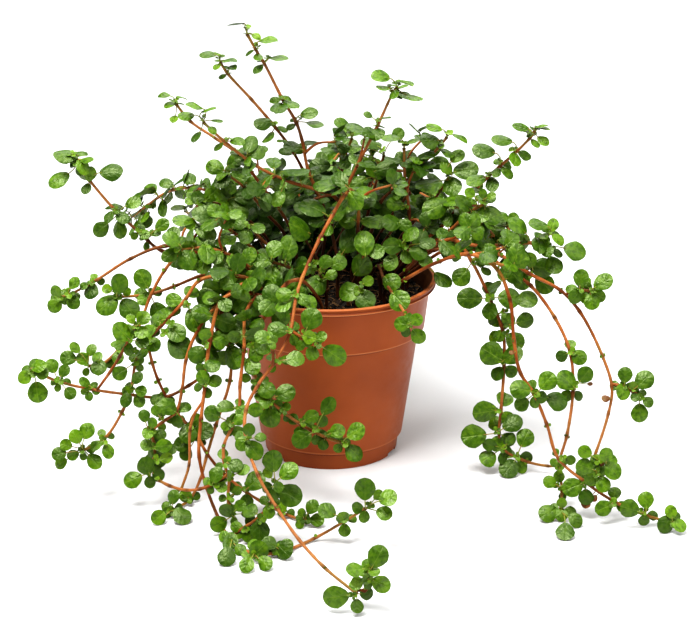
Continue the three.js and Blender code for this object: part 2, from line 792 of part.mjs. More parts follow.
// A seen shoot's lines, all moved back by a nudge: the main stem, from its root in the soil through
// its picks, and the sprigs. The hubs are the picked places, which leaves grow from.
function seenLines(shoot, nudge) {
  const [x, y] = shoot.root;
  const foot = new THREE.Vector3(x, y, soilHeight(x, y) + FOOT_GAP);
  const rise = foot.clone().addScaledVector(UP, STEM.rise);
  const along = shares(shoot.stem);
  const picks = shoot.stem.map(([across, down], i) => {
    const depth = between(shoot.depth, along[i]) + nudge;
    return placed(across, down, depth);
  });
  const main = lineThrough([foot, rise, ...picks]);
  const lines = [main];
  const hubs = [...picks];
  for (const sprig of shoot.sprigs ?? []) {
    const start = nearest(main.places.slice(STEM.bareSteps), ...sprig[0]).point;
    const rest = sprig
      .slice(1)
      .map(([across, down], i) => placed(across, down, start.y - STEM.sprigStep * (i + 1)));
    lines.push(lineThrough([start, ...rest]));
    hubs.push(...rest);
  }
  return { lines, hubs };
}

// True when every line keeps clear of all the places taken by other shoots.
function clears(lines, others) {
  const limit = STEM.clear ** 2;
  return lines.every((line) =>
    line.places.every((place) => others.every((other) => place.distanceToSquared(other) > limit)),
  );
}

// A shoot's lines with the first nudge that clears the shoots before it.
function settle(linesFor, others) {
  for (const nudge of NUDGES) {
    const found = { ...linesFor(nudge), nudge };
    if (clears(found.lines, others)) return found;
  }
  return { ...linesFor(0), nudge: 0 };
}

function tube({ curve, steps }) {
  const section = new THREE.Shape();
  for (let k = 0; k < STEM.sides; k += 1) {
    const angle = (k * 2 * Math.PI) / STEM.sides;
    const corner = [STEM.radius * Math.cos(angle), STEM.radius * Math.sin(angle)];
    if (k === 0) section.moveTo(...corner);
    else section.lineTo(...corner);
  }
  return solid(new THREE.ExtrudeGeometry(section, { steps, extrudePath: curve, bevelEnabled: false }));
}

// ---- Leaves ----

// Leaves face the light: straight up on the high shoots, and more towards the viewer or outwards
// on those that hang low.
function facingAt(height, outward) {
  const low = THREE.MathUtils.clamp((LIGHT.high - height) / LIGHT.fade, 0, 1);
  const upright = new THREE.Vector3(0, 0, 1 - LIGHT.lean * low);
  return outward.clone().multiplyScalar(low).add(upright).normalize();
}

// A blade with its stalk: a thin lens with a spike that ends inside the stem.
function blade({ from, middle, length, facing, roll }) {
  const ahead = middle.clone().sub(from).normalize();
  const up = facing.clone().addScaledVector(ahead, -facing.dot(ahead)).normalize();
  up.applyAxisAngle(ahead, roll);
  const side = new THREE.Vector3().crossVectors(up, ahead);
  const base = Math.max(middle.distanceTo(from) - length / 2, LEAF.stalk);
  const at = (along, across, rise) =>
    from
      .clone()
      .addScaledVector(ahead, along)
      .addScaledVector(side, across)
      .addScaledVector(up, rise);
  const outline = LEAF.widest.map(([along, half]) => [base + along * length, half * length]);
  const points = [at(0, 0, 0)];
  for (const [along, half] of outline) points.push(at(along, -half, 0));
  points.push(at(base + length, 0, 0));
  for (const [along, half] of outline.reverse()) points.push(at(along, half, 0));
  const count = points.length;
  const ridge = base + LEAF.ridge * length;
  points.push(at(ridge, 0, LEAF.thickness / 2), at(ridge, 0, -LEAF.thickness / 2));
  const lowest = Math.min(...points.map((point) => point.z));
  if (lowest < LEAF.floorGap) {
    const rise = LEAF.floorGap - lowest;
    points.forEach((point, i) => {
      if (i > 0) point.z += rise;
    });
  }
  const faces = [];
  for (let i = 0; i < count; i += 1) {
    const next = (i + 1) % count;
    faces.push(i, next, count, next, i, count + 1);
  }
  return solid(new THREE.BufferGeometry().setFromPoints(points).setIndex(faces));
}

// How near a hub a blade has to be to grow from it, in pixels, and how far one that covers its own
// stem comes forward, as a share of what it covers.
const HUB = { reach: 9, perSize: 0.75, lift: 0.6 };

// The blades of a seen shoot. Each grows from the nearest hub, or from the stem where none is near.
function seenBlades(shoot, { lines, hubs }, seed) {
  const toViewer = FORWARD.clone().negate();
  const places = lines.flatMap((line) => line.places);
  const nodes = [...hubs];
  return shoot.leaves.map(([across, down, size], i) => {
    const beside = nearest(places, across, down);
    const hub = nearest(nodes, across, down);
    const far = hub.gap > HUB.reach + HUB.perSize * size;
    if (far) nodes.push(beside.point);
    const from = far ? beside.point : hub.point;
    const gap = Math.min(hub.gap, beside.gap);
    const length = size * scaleAt(from);
    const covered = Math.max(0, length / 2 - gap * scaleAt(from));
    const forward = between(LEAF.forward, chance(seed, i)) + HUB.lift * covered;
    return {
      from,
      middle: placed(across, down, from.y - forward, LEAF.floorGap + 1),
      length,
      facing: facingAt(from.z, toViewer),
      roll: between(LEAF.roll, chance(seed, i + 0.5)),
    };
  });
}

// The blades of a far shoot: pairs that turn from node to node, and a rosette at the tip.
function farBlades(index, { lines: [line], nudge }) {
  const outward = farHeading(index, nudge);
  const blades = [];
  for (let node = 1; node <= FAR.nodes; node += 1) {
    const share = between([FAR.leafyFrom, 1], node / FAR.nodes);
    const from = line.curve.getPointAt(share);
    const ahead = line.curve.getTangentAt(share);
    const count = node === FAR.nodes ? FAR.atTip : 2;
    for (let k = 0; k < count; k += 1) {
      const turn = (k * 2 * Math.PI) / count + node * FAR.turn + chance(index, node);
      const side = new THREE.Vector3(-ahead.y, ahead.x, 0).normalize().applyAxisAngle(ahead, turn);
      side.addScaledVector(ahead, FAR.leafAhead).addScaledVector(UP, FAR.leafRise).normalize();
      const length = between(FAR.leaf, chance(index + 0.5, node + k / 8));
      blades.push({
        from,
        middle: from.clone().addScaledVector(side, length / 2 + FAR.stalk),
        length,
        facing: facingAt(from.z, outward),
        roll: between(LEAF.roll, chance(index, node + 0.1 * k)),
      });
    }
  }
  return blades;
}

// ---- Assembly ----

const MATERIALS = {
  pot: new THREE.MeshStandardMaterial({ color: 0xb4562e, roughness: 0.5, metalness: 0 }),
  soil: new THREE.MeshStandardMaterial({ color: 0x241811, roughness: 1, metalness: 0 }),
  leaf: new THREE.MeshStandardMaterial({ color: 0x4e7a2c, roughness: 0.45, metalness: 0 }),
};

function addNode(group, name, shape, material) {
  const geometry = geometryOf(shape);
  geometry.computeVertexNormals();
  const mesh = new THREE.Mesh(geometry, material);
  mesh.name = name;
  group.add(mesh);
}

// Every shoot's lines and blades. Each shoot in turn keeps clear of those before it.
function layOutShoots() {
  const shoots = [];
  const taken = [];
  const layOut = (name, linesFor, bladesFor) => {
    const found = settle(linesFor, taken);
    found.lines.forEach((line) => taken.push(...line.places));
    shoots.push({ name, lines: found.lines, blades: bladesFor(found) });
  };
  const numbered = (side, i) => `shoot_${side}_${String(i + 1).padStart(2, "0")}`;
  for (const [side, list] of Object.entries(SEEN)) {
    list.forEach((shoot, i) => {
      const seed = shoots.length;
      const linesFor = (nudge) => seenLines(shoot, nudge);
      layOut(numbered(side, i), linesFor, (found) => seenBlades(shoot, found, seed));
    });
  }
  for (let i = 0; i < FAR.count; i += 1) {
    const linesFor = (nudge) => ({ lines: [lineThrough(farStem(i, nudge))] });
    layOut(numbered("back", i), linesFor, (found) => farBlades(i, found));
  }
  return shoots;
}

// Two solids that lie closer than the gap, by their boxes first.
function tooClose(a, b) {
  for (let axis = 0; axis < 3; axis += 1) {
    if (a.box.min[axis] > b.box.max[axis] + GAP || b.box.min[axis] > a.box.max[axis] + GAP) return false;
  }
  return a.shape.minGap(b.shape, GAP) < GAP;
}

const boxed = (shape, owner) => ({ shape, owner, box: shape.boundingBox() });

// A blade keeps clear of every other piece. Blades of its own shoot may share a little at a hub.
function fits(made, others) {
  return others.every((other) => {
    if (other.owner !== made.owner) return !tooClose(made, other);
    if (other.shape === made.owner.stems) return true;
    return made.shape.intersect(other.shape).volume() < LEAF.shared;
  });
}

function geometryOf(shape) {
  const { vertProperties, triVerts } = shape.getMesh();
  const geometry = new THREE.BufferGeometry();
  geometry.setAttribute("position", new THREE.BufferAttribute(vertProperties, 3));
  geometry.setIndex(new THREE.BufferAttribute(triVerts, 1));
  return geometry;
}

// A union without the slivers and sealed pockets that crossing blades leave.
function cleaned(shape) {
  const merged = solid(geometryOf(shape.simplify(SLIVER)), MERGE);
  const bodies = merged.decompose();
  const volumes = bodies.map((body) => body.volume());
  return bodies[volumes.indexOf(Math.max(...volumes))];
}

// Each shoot is one grown piece: its stems joined with the blades that touch no other shoot, pot or
// soil. A blade that would touch is smaller here, or left out, and so are the smallest ones.
function growShoots(pot, soil) {
  const shoots = layOutShoots();
  const placedSolids = [boxed(pot, null), boxed(soil, null)];
  for (const shoot of shoots) {
    shoot.stems = Manifold.union(shoot.lines.map(tube));
    placedSolids.push(boxed(shoot.stems, shoot));
  }
  for (const shoot of shoots) {
    const grown = [];
    for (const leaf of shoot.blades.filter(({ length }) => length >= LEAF.smallest)) {
      const from = onTube(leaf.from, shoot.lines);
      const tries = LEAF.sizes.map((size) => blade({ ...leaf, from, length: leaf.length * size }));
      const made = tries.map((shape) => boxed(shape, shoot)).find((other) => fits(other, placedSolids));
      if (made) {
        grown.push(made.shape);
        placedSolids.push(made);
      }
    }
    shoot.shape = cleaned(Manifold.union([shoot.stems, ...grown]));
  }
  return shoots;
}

const plant = new THREE.Group();
const pot = makePot();
const soil = makeSoil();
addNode(plant, "pot", pot, MATERIALS.pot);
addNode(plant, "soil", soil, MATERIALS.soil);
for (const { name, shape } of growShoots(pot, soil)) {
  addNode(plant, name, shape, MATERIALS.leaf);
}

export default plant;
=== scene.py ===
# A potted trailing pilea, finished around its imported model. All sizes are in metres. The origin is
# on the pot's axis, on the floor; +X is the plant's right and -Y its front.
import json
import math

import bpy
import numpy as np
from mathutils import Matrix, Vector, noise

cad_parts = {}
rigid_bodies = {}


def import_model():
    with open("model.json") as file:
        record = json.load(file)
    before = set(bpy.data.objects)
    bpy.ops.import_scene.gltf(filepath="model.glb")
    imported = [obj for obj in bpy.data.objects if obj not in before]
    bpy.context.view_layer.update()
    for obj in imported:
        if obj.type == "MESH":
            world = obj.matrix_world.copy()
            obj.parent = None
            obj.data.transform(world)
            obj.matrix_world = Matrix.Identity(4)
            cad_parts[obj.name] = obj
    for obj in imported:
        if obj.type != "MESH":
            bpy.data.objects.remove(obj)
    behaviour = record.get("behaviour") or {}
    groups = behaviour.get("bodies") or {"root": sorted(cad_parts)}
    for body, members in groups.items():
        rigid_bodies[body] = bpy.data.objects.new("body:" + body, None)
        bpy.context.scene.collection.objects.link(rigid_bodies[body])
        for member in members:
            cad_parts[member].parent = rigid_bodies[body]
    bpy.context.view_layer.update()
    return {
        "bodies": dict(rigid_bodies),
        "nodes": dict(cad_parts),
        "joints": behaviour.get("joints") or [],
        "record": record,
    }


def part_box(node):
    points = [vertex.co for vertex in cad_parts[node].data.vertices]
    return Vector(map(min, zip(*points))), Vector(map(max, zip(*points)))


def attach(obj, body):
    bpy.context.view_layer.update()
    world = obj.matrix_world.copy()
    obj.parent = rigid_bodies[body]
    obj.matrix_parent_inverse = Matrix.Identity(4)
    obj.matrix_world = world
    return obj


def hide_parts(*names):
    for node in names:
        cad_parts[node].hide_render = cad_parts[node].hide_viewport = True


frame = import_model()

# ---- Camera ----
# The viewer stands a metre off and looks a little down on the plant. The shoots were picked in
# this view, so the same numbers place them further on.

PICTURE = (700, 634)  # pixels
FOCAL = 1750.0  # pixels
SENSOR = 36.0  # mm
TARGET = np.array([0.011, 0.0, 0.078])
DISTANCE = 1.0
ELEVATION = math.radians(19.5)

FORWARD = np.array([0.0, math.cos(ELEVATION), -math.sin(ELEVATION)])
UPWARD = np.array([0.0, math.sin(ELEVATION), math.cos(ELEVATION)])
EYE = TARGET - DISTANCE * FORWARD

camera = bpy.data.objects.new("camera", bpy.data.cameras.new("camera"))
camera.data.sensor_width = SENSOR
camera.data.lens = FOCAL * SENSOR / PICTURE[0]
camera.location = EYE
camera.rotation_euler = (math.pi / 2 - ELEVATION, 0, 0)
bpy.context.scene.collection.objects.link(camera)
bpy.context.scene.camera = camera

# ---- The pot ----
# A 12 cm nursery pot, moulded in one piece of terracotta-coloured plastic with walls just over a
# millimetre thick. It has a rolled lip, a ledge that a stacked pot rests on and a recessed foot.

POT_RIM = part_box("pot")[1].x  # radius
POT_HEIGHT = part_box("pot")[1].z
POT_SIDES = 144
POT_WALL = 0.0013
POT_FOOT = 0.0382  # radius
POT_FOOT_INSIDE = 0.0352
POT_BASE = 0.002  # the underside of its base plate stands this high
POT_BASE_TOP = 0.0034
POT_BAND = 0.0412  # radius over the foot band
POT_NECK = 0.0504  # radius just under the ledge
POT_NECK_LOW = 0.0503  # and a little further down
POT_SHOULDER = 0.0535  # radius over the ledge
POT_MOUTH = 0.0565  # radius under the lip
BAND_TOP = 0.0101  # height
POT_LEDGE = 0.074  # height
LIP_BOTTOM = POT_HEIGHT - 0.004
POT_ROUNDING = 0.0004  # of its moulded edges
POT_EDGE = math.radians(22)  # sharper turns than this are rounded
POT_SMOOTH = math.radians(35)
DRAIN_COUNT = 6
DRAIN_FIRST = math.radians(-23)
DRAIN_RADIUS = 0.0026
DRAIN_RING = 0.029
NOTCH = (0.012, 0.011, 0.0036)  # the foot ring is cut away beside every second hole

# [radius, height] up the outside, over the lip and down the inside
POT_OUTSIDE = [
    (POT_FOOT_INSIDE, 0), (POT_FOOT, 0), (0.0393, 0.0098), (POT_BAND, BAND_TOP),
    (POT_NECK, POT_LEDGE - 0.0004), (0.0530, POT_LEDGE), (POT_SHOULDER, POT_LEDGE + 0.0005),
    (POT_MOUTH, LIP_BOTTOM),
]
POT_LIP = [
    (POT_RIM - 0.0009, LIP_BOTTOM), (POT_RIM - 0.0003, LIP_BOTTOM + 0.0003),
    (POT_RIM - 0.0002, LIP_BOTTOM + 0.0010), (POT_RIM - 0.0008, LIP_BOTTOM + 0.0014),
    (POT_RIM - 0.0008, POT_HEIGHT - 0.0016), (POT_RIM - 0.0002, POT_HEIGHT - 0.0012),
    (POT_RIM, POT_HEIGHT - 0.0007), (POT_RIM - 0.0004, POT_HEIGHT - 0.0002),
    (POT_RIM - 0.0012, POT_HEIGHT), (POT_RIM - 0.0026, POT_HEIGHT - 0.0003),
]
POT_INSIDE = [
    (POT_MOUTH - POT_WALL, LIP_BOTTOM), (POT_SHOULDER - POT_WALL, POT_LEDGE + 0.0016),
    (POT_NECK_LOW - POT_WALL, POT_LEDGE - 0.0016), (POT_BAND - POT_WALL, 0.0109),
    (POT_FOOT - POT_WALL, POT_BASE_TOP),
]

# colours: pale and dark, on the outside and on the darker inside wall
TERRACOTTA = [(0.375, 0.080, 0.012), (0.285, 0.056, 0.008)]
INSIDE_TONES = [(0.110, 0.034, 0.008), (0.040, 0.018, 0.006)]
# Painted highlights along the moulded edges and painted shade in the grooves under them: height,
# half of the width, strength, colour.
PAINTED_EDGE_LIGHT = [
    (POT_HEIGHT - 0.0002, 0.0008, 0.45, (0.60, 0.21, 0.070)),
    (LIP_BOTTOM + 0.0014, 0.0006, 0.55, (0.150, 0.028, 0.005)),
    (LIP_BOTTOM + 0.0003, 0.0006, 0.75, (0.66, 0.25, 0.090)),
    (LIP_BOTTOM - 0.0009, 0.0008, 0.55, (0.150, 0.028, 0.005)),
    (POT_LEDGE + 0.0006, 0.0005, 0.60, (0.60, 0.21, 0.070)),
    (POT_LEDGE - 0.0009, 0.0009, 0.60, (0.140, 0.026, 0.005)),
    (BAND_TOP + 0.0007, 0.0005, 0.45, (0.58, 0.19, 0.060)),
    (BAND_TOP - 0.0007, 0.0008, 0.65, (0.120, 0.022, 0.004)),
]
CLOUD_SCALE = 28  # per metre
RUB_SCALE = 160
GRAIN_SCALE = 1400
GRAIN_DEPTH = 0.00004
PLASTIC_ROUGHNESS = (0.40, 0.55)


def only(piece):
    """Selects this piece alone."""
    bpy.ops.object.select_all(action="DESELECT")
    piece.select_set(True)
    bpy.context.view_layer.objects.active = piece


def turn_up(name, sides, start, rings):
    """A closed turned piece: a disc drawn on at its edge from ring to ring of (radius, height)."""
    bpy.ops.object.select_all(action="DESELECT")
    bpy.ops.mesh.primitive_circle_add(
        vertices=sides, radius=start[0], fill_type="NGON", location=(0, 0, start[1])
    )
    piece = bpy.context.active_object
    piece.name = piece.data.name = name
    bpy.ops.object.transform_apply()
    bpy.ops.object.mode_set(mode="EDIT")
    bpy.ops.mesh.select_all(action="SELECT")
    now = start
    for radius, height in rings:
        bpy.ops.mesh.extrude_region_move(TRANSFORM_OT_translate={"value": (0, 0, height - now[1])})
        widen = radius / now[0]
        bpy.ops.transform.resize(value=(widen, widen, 1), center_override=(0, 0, height))
        now = (radius, height)
    bpy.ops.mesh.select_all(action="SELECT")
    bpy.ops.mesh.normals_make_consistent(inside=False)
    bpy.ops.object.mode_set(mode="OBJECT")
    return piece


def finish_with(piece, kind, **settings):
    """Adds a modifier with these settings and applies it."""
    only(piece)
    modifier = piece.modifiers.new(kind.lower(), kind)
    for name, value in settings.items():
        setattr(modifier, name, value)
    bpy.ops.object.modifier_apply(modifier=modifier.name)


def cut(piece, cutter):
    """Cuts a cutter's shape out of the piece, and removes the cutter."""
    only(cutter)
    bpy.ops.object.transform_apply()
    finish_with(piece, "BOOLEAN", object=cutter, operation="DIFFERENCE", solver="EXACT")
    bpy.data.objects.remove(cutter)


def shader_node(tree, kind, inputs=None, **settings):
    """A node with these settings. Each named input takes a value, or a socket to link to it."""
    made = tree.nodes.new("ShaderNode" + kind)
    for name, value in settings.items():
        setattr(made, name, value)
    for name, value in (inputs or {}).items():
        if isinstance(value, bpy.types.NodeSocket):
            tree.links.new(value, made.inputs[name])
        else:
            made.inputs[name].default_value = value
    return made


def new_material(name, **constants):
    """A material with a Principled shader, its constants set on the shader's own sockets."""
    material = bpy.data.materials.new(name)
    material.use_nodes = True
    shader = material.node_tree.nodes["Principled BSDF"]
    for socket, value in constants.items():
        shader.inputs[socket.replace("_", " ")].default_value = value
    return material, material.node_tree, shader


def ramp(tree, factor, *stops):
    """A colour ramp read at a factor. Each stop is (position, (r, g, b))."""
    made = shader_node(tree, "ValToRGB", {"Fac": factor})
    elements = made.color_ramp.elements
    while len(elements) < len(stops):
        elements.new(1.0)
    for element, (position, colour) in zip(elements, stops):
        element.position = position
        element.color = (*colour, 1)
    return made.outputs["Color"]


def spread(tree, value, low, high, to_low, to_high):
    """A value brought from one range to another, and held inside it."""
    return shader_node(
        tree,
        "MapRange",
        {"Value": value, "From Min": low, "From Max": high, "To Min": to_low, "To Max": to_high},
    ).outputs["Result"]


def spot_on(tree):
    """Where a point of the piece is, in metres."""
    return shader_node(tree, "TexCoord").outputs["Object"]


def maths(tree, operation, a, b=0.0):
    """A number worked out from two values or sockets."""
    made = shader_node(tree, "Math", operation=operation)
    for socket, value in zip(made.inputs, (a, b)):
        if isinstance(value, bpy.types.NodeSocket):
            tree.links.new(value, socket)
        else:
            socket.default_value = value
    return made.outputs["Value"]


def blend(tree, factor, under, over):
    """One colour laid over another by a factor."""
    made = shader_node(tree, "Mix", data_type="RGBA")
    tree.links.new(factor, made.inputs[0])
    tree.links.new(under, made.inputs[6])
    made.inputs[7].default_value = (*over, 1)
    return made.outputs[2]


def speckle(tree, vector, scale, detail=2.0, roughness=0.5):
    """Smooth noise from 0 to 1 at a scale per metre."""
    inputs = {"Vector": vector, "Scale": scale, "Detail": detail, "Roughness": roughness}
    return shader_node(tree, "TexNoise", inputs).outputs["Fac"]


def bump(tree, height, distance, strength=1.0):
    """A normal from a height of that many metres."""
    inputs = {"Height": height, "Distance": distance, "Strength": strength}
    return shader_node(tree, "Bump", inputs).outputs["Normal"]


def pot_plastic(name, pale, dark, lines):
    """Satin plastic: slightly uneven in colour, with a fine moulded grain and painted highlight and
    shade lines round it.
    """
    material, tree, shader = new_material(name, Specular_IOR_Level=0.2)
    place = spot_on(tree)
    height = shader_node(tree, "SeparateXYZ", {"Vector": place}).outputs["Z"]
    cloud = speckle(tree, place, CLOUD_SCALE, 4)
    colour = ramp(tree, cloud, (0.3, dark), (0.7, pale))
    # painted highlights and painted shade, each a band at its height
    for level, half, strength, tone in lines:
        off = maths(tree, "ABSOLUTE", maths(tree, "SUBTRACT", height, level))
        colour = blend(tree, spread(tree, off, half / 2, half, strength, 0), colour, tone)
    tree.links.new(colour, shader.inputs["Base Color"])
    grain = speckle(tree, place, GRAIN_SCALE, 1)
    rubbed = speckle(tree, place, RUB_SCALE, 5, 0.7)
    roughness = spread(tree, rubbed, 0.35, 0.75, *PLASTIC_ROUGHNESS)
    tree.links.new(roughness, shader.inputs["Roughness"])
    tree.links.new(bump(tree, grain, GRAIN_DEPTH, 0.6), shader.inputs["Normal"])
    return material


underside = (POT_FOOT_INSIDE - 0.0010, POT_BASE)  # the disc of its base plate
pot = turn_up("nursery_pot", POT_SIDES, underside, [*POT_OUTSIDE, *POT_LIP, *POT_INSIDE])
finish_with(
    pot, "BEVEL", width=POT_ROUNDING, segments=2, limit_method="ANGLE", angle_limit=POT_EDGE
)
for k in range(DRAIN_COUNT):
    turn = DRAIN_FIRST + k * 2 * math.pi / DRAIN_COUNT
    outward = Vector((math.cos(turn), math.sin(turn), 0))
    bpy.ops.object.select_all(action="DESELECT")
    bpy.ops.mesh.primitive_cylinder_add(
        vertices=32, radius=DRAIN_RADIUS, depth=4 * POT_BASE_TOP, location=DRAIN_RING * outward
    )
    cut(pot, bpy.context.active_object)
    if k % 2 == 0:
        bpy.ops.mesh.primitive_cube_add(
            size=1, location=POT_FOOT * outward, rotation=(0, 0, turn), scale=NOTCH
        )
        cut(pot, bpy.context.active_object)
only(pot)
bpy.ops.object.shade_smooth_by_angle(angle=POT_SMOOTH)
pot.data.materials.clear()
pot.data.materials.append(pot_plastic("pot_plastic", *TERRACOTTA, PAINTED_EDGE_LIGHT))
pot.data.materials.append(pot_plastic("pot_inside", *INSIDE_TONES, []))
for face in pot.data.polygons:
    outwards = face.normal.x * face.center.x + face.normal.y * face.center.y
    inward = outwards < -0.3 * face.center.xy.length
    face.material_index = int(inward and face.center.z > POT_BASE_TOP)
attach(pot, "root")
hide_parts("pot")

# ---- The soil ----
# Dark potting mix of peat and bark. The root ball fills the pot, and its top is a low mound of
# crumbs with paler bark chips and fibres among them.

SOIL_EDGE = 0.0925  # height
SOIL_RADIUS = 0.0535
SOIL_WALL = 0.0006  # clearance to the pot
SOIL_BASE_GAP = 0.0003
MOUND_TOP = 0.095  # height
MOUND_FALL = 0.0025
MOUND_RADIUS = 0.0536
SOIL_SINK = 0.0006  # how far the lumps' mean lies under the mound's outline
LUMP_HEIGHT = 0.0016
LUMP_SCALE = 260
LUMP_FADE = 0.004  # the lumps fade out this far from the pot
SOIL_RINGS = 34
SOIL_SIDES = 150
SOIL_SMOOTH = math.radians(50)
SOIL_GRAIN = 700  # per metre
SOIL_GRAIN_DEPTH = 0.0004
SOIL_DARK = (0.004, 0.0025, 0.0015)
SOIL_LIGHT = (0.020, 0.012, 0.006)
CRUMB_LIGHT = (0.035, 0.019, 0.009)
BARK_COLOURS = [(0.05, 0.022, 0.008), (0.28, 0.14, 0.05)]
STRAW_COLOURS = [(0.10, 0.048, 0.015), (0.36, 0.20, 0.075)]
CRUMBS = 1500
CRUMB_SIZE = (0.0004, 0.0015)
CRUMB_STRETCH = 1.3
CHIPS = 90
CHIP_SIZE = (0.0005, 0.0016)
CHIP_STRETCH = 2.2
BIT_FLAT = 0.6  # height beside width
BIT_VARY = 0.25  # how uneven its corners are
BIT_LIFT = 0.25  # how far its middle lies over the soil, beside its size
FIBRES = 190
FIBRE_LENGTH = (0.003, 0.014)
FIBRE_LIFT = (0.0004, 0.0022)
FIBRE_RADIUS = (0.0001, 0.00028)
FIBRE_GAP = 0.0004
FIBRE_BEND = 0.25  # sideways, beside its length
FIBRE_POINTS = 7
FIBRE_SIDES = 5

rng = np.random.default_rng(7)


def soil_height(x, y):
    """The height of the soil's rounded top, before its lumps."""
    share = min(1.0, (x * x + y * y) / MOUND_RADIUS**2)
    return MOUND_TOP - MOUND_FALL * share


def soil_mix(name, dark, light, roughness=0.9):
    """A matte crumbly surface between two browns."""
    material, tree, shader = new_material(name, Specular_IOR_Level=0.25, Roughness=roughness)
    place = spot_on(tree)
    grain = speckle(tree, place, SOIL_GRAIN, 4, 0.7)
    tree.links.new(ramp(tree, grain, (0.35, dark), (0.75, light)), shader.inputs["Base Color"])
    tree.links.new(bump(tree, grain, SOIL_GRAIN_DEPTH), shader.inputs["Normal"])
    return material


soil = turn_up(
    "soil_bed",
    SOIL_SIDES,
    (POT_FOOT - POT_WALL - SOIL_WALL, POT_BASE_TOP + SOIL_BASE_GAP),
    [
        (POT_BAND - POT_WALL - SOIL_WALL, 0.0115),
        (POT_NECK_LOW - POT_WALL - SOIL_WALL, POT_LEDGE - 0.0010),
        (MOUND_RADIUS - POT_WALL - SOIL_WALL, POT_LEDGE + 0.0024),
        (SOIL_RADIUS, SOIL_EDGE),
        *[(SOIL_RADIUS * (1 - k / SOIL_RINGS), SOIL_EDGE) for k in range(1, SOIL_RINGS)],
    ],
)
for point in soil.data.vertices:
    if point.co.z > SOIL_EDGE - 1e-5:
        lumps = noise.fractal(point.co * LUMP_SCALE, 1.0, 2.1, 4)
        fade = min(1.0, (SOIL_RADIUS - point.co.xy.length) / LUMP_FADE)
        mound = soil_height(point.co.x, point.co.y)
        point.co.z = mound - SOIL_SINK + fade * LUMP_HEIGHT * lumps
only(soil)
bpy.ops.object.shade_smooth_by_angle(angle=SOIL_SMOOTH)
soil.data.materials.clear()
soil.data.materials.append(soil_mix("soil", SOIL_DARK, SOIL_LIGHT))


def mesh_piece(name, points, faces, materials, face_materials=None):
    """A new piece from its points and faces."""
    mesh = bpy.data.meshes.new(name)
    mesh.from_pydata(np.asarray(points).tolist(), [], faces)
    for material in materials:
        mesh.materials.append(material)
    if face_materials is not None:
        mesh.polygons.foreach_set("material_index", face_materials)
    piece = bpy.data.objects.new(name, mesh)
    bpy.context.scene.collection.objects.link(piece)
    return piece


def between(limits, share):
    """The value at a share of the way from one limit to the other."""
    return limits[0] + (limits[1] - limits[0]) * share


def on_soil(reach=0.97):
    """A random spot on the soil."""
    radius = SOIL_RADIUS * reach * math.sqrt(rng.random())
    turn = rng.random() * 2 * math.pi
    x, y = radius * math.cos(turn), radius * math.sin(turn)
    return np.array([x, y, soil_height(x, y)])


def scattered(name, count, size, stretch, material):
    """Angular bits that lie on the soil, made from one coarse ball, as one piece."""
    bpy.ops.object.select_all(action="DESELECT")
    bpy.ops.mesh.primitive_ico_sphere_add(subdivisions=1, radius=1)
    ball = bpy.context.active_object
    corners = np.array([point.co for point in ball.data.vertices])
    faces = np.array([face.vertices for face in ball.data.polygons])
    bpy.data.objects.remove(ball)
    points, found = [], []
    for _ in range(count):
        spin = np.linalg.qr(rng.normal(size=(3, 3)))[0]
        spin *= np.sign(np.linalg.det(spin))
        scale = between(size, rng.random() ** 2)
        bit = corners * (1 + BIT_VARY * rng.normal(size=(len(corners), 1))) * [1, stretch, BIT_FLAT]
        found.append(faces + len(points) * len(corners))
        points.append(bit @ spin.T * scale + on_soil() + [0, 0, BIT_LIFT * scale])
    return mesh_piece(name, np.concatenate(points), np.concatenate(found).tolist(), [material])


def swept(path, radii, sides):
    """Points and faces of a closed tube along a path, with its own radius at each point."""
    path, radii = np.asarray(path, float), np.asarray(radii, float)
    ahead = np.gradient(path, axis=0)
    ahead /= np.linalg.norm(ahead, axis=1)[:, None]
    across = np.cross(ahead[0], [0.0, 0.0, 1.0])
    if np.linalg.norm(across) < 1e-3:
        across = np.array([1.0, 0.0, 0.0])
    turns = np.arange(sides) * 2 * math.pi / sides
    rings = []
    for here, along, radius in zip(path, ahead, radii):
        across = across - along * (across @ along)
        across /= np.linalg.norm(across)
        up = np.cross(across, along)
        ring = np.outer(np.cos(turns), across) + np.outer(np.sin(turns), up)
        rings.append(here + radius * ring)
    points = np.concatenate([*rings, path[:1], path[-1:]])
    first, last = len(points) - 2, len(points) - 1
    faces = []
    for ring in range(len(path) - 1):
        for k in range(sides):
            a, b = ring * sides + k, ring * sides + (k + 1) % sides
            faces.append((a, a + sides, b + sides, b))
    end = (len(path) - 1) * sides
    for k in range(sides):
        faces.append((first, k, (k + 1) % sides))
        faces.append((last, end + (k + 1) % sides, end + k))
    return points, faces


def tubes_piece(name, tubes, material):
    """Several tubes as one piece. Each is (points, faces)."""
    points, faces, count = [], [], 0
    for tube_points, tube_faces in tubes:
        points.append(tube_points)
        faces += [tuple(corner + count for corner in face) for face in tube_faces]
        count += len(tube_points)
    return mesh_piece(name, np.concatenate(points), faces, [material])


def fibre():
    """A thin bent root or bark fibre that lies on the soil."""
    middle = on_soil(0.9)
    turn, length = rng.random() * 2 * math.pi, between(FIBRE_LENGTH, rng.random() ** 2)
    heading = np.array([math.cos(turn), math.sin(turn), 0])
    sideways = np.array([-heading[1], heading[0], 0])
    bend, lift = rng.normal(0, FIBRE_BEND), between(FIBRE_LIFT, rng.random() ** 2)
    path = []
    for share in np.linspace(-0.5, 0.5, FIBRE_POINTS):
        arch = 1 - 4 * share * share
        along = middle + length * (share * heading + bend * arch * sideways)
        path.append(along + [0, 0, lift * arch + FIBRE_GAP])
    return swept(path, [between(FIBRE_RADIUS, rng.random())] * FIBRE_POINTS, FIBRE_SIDES)


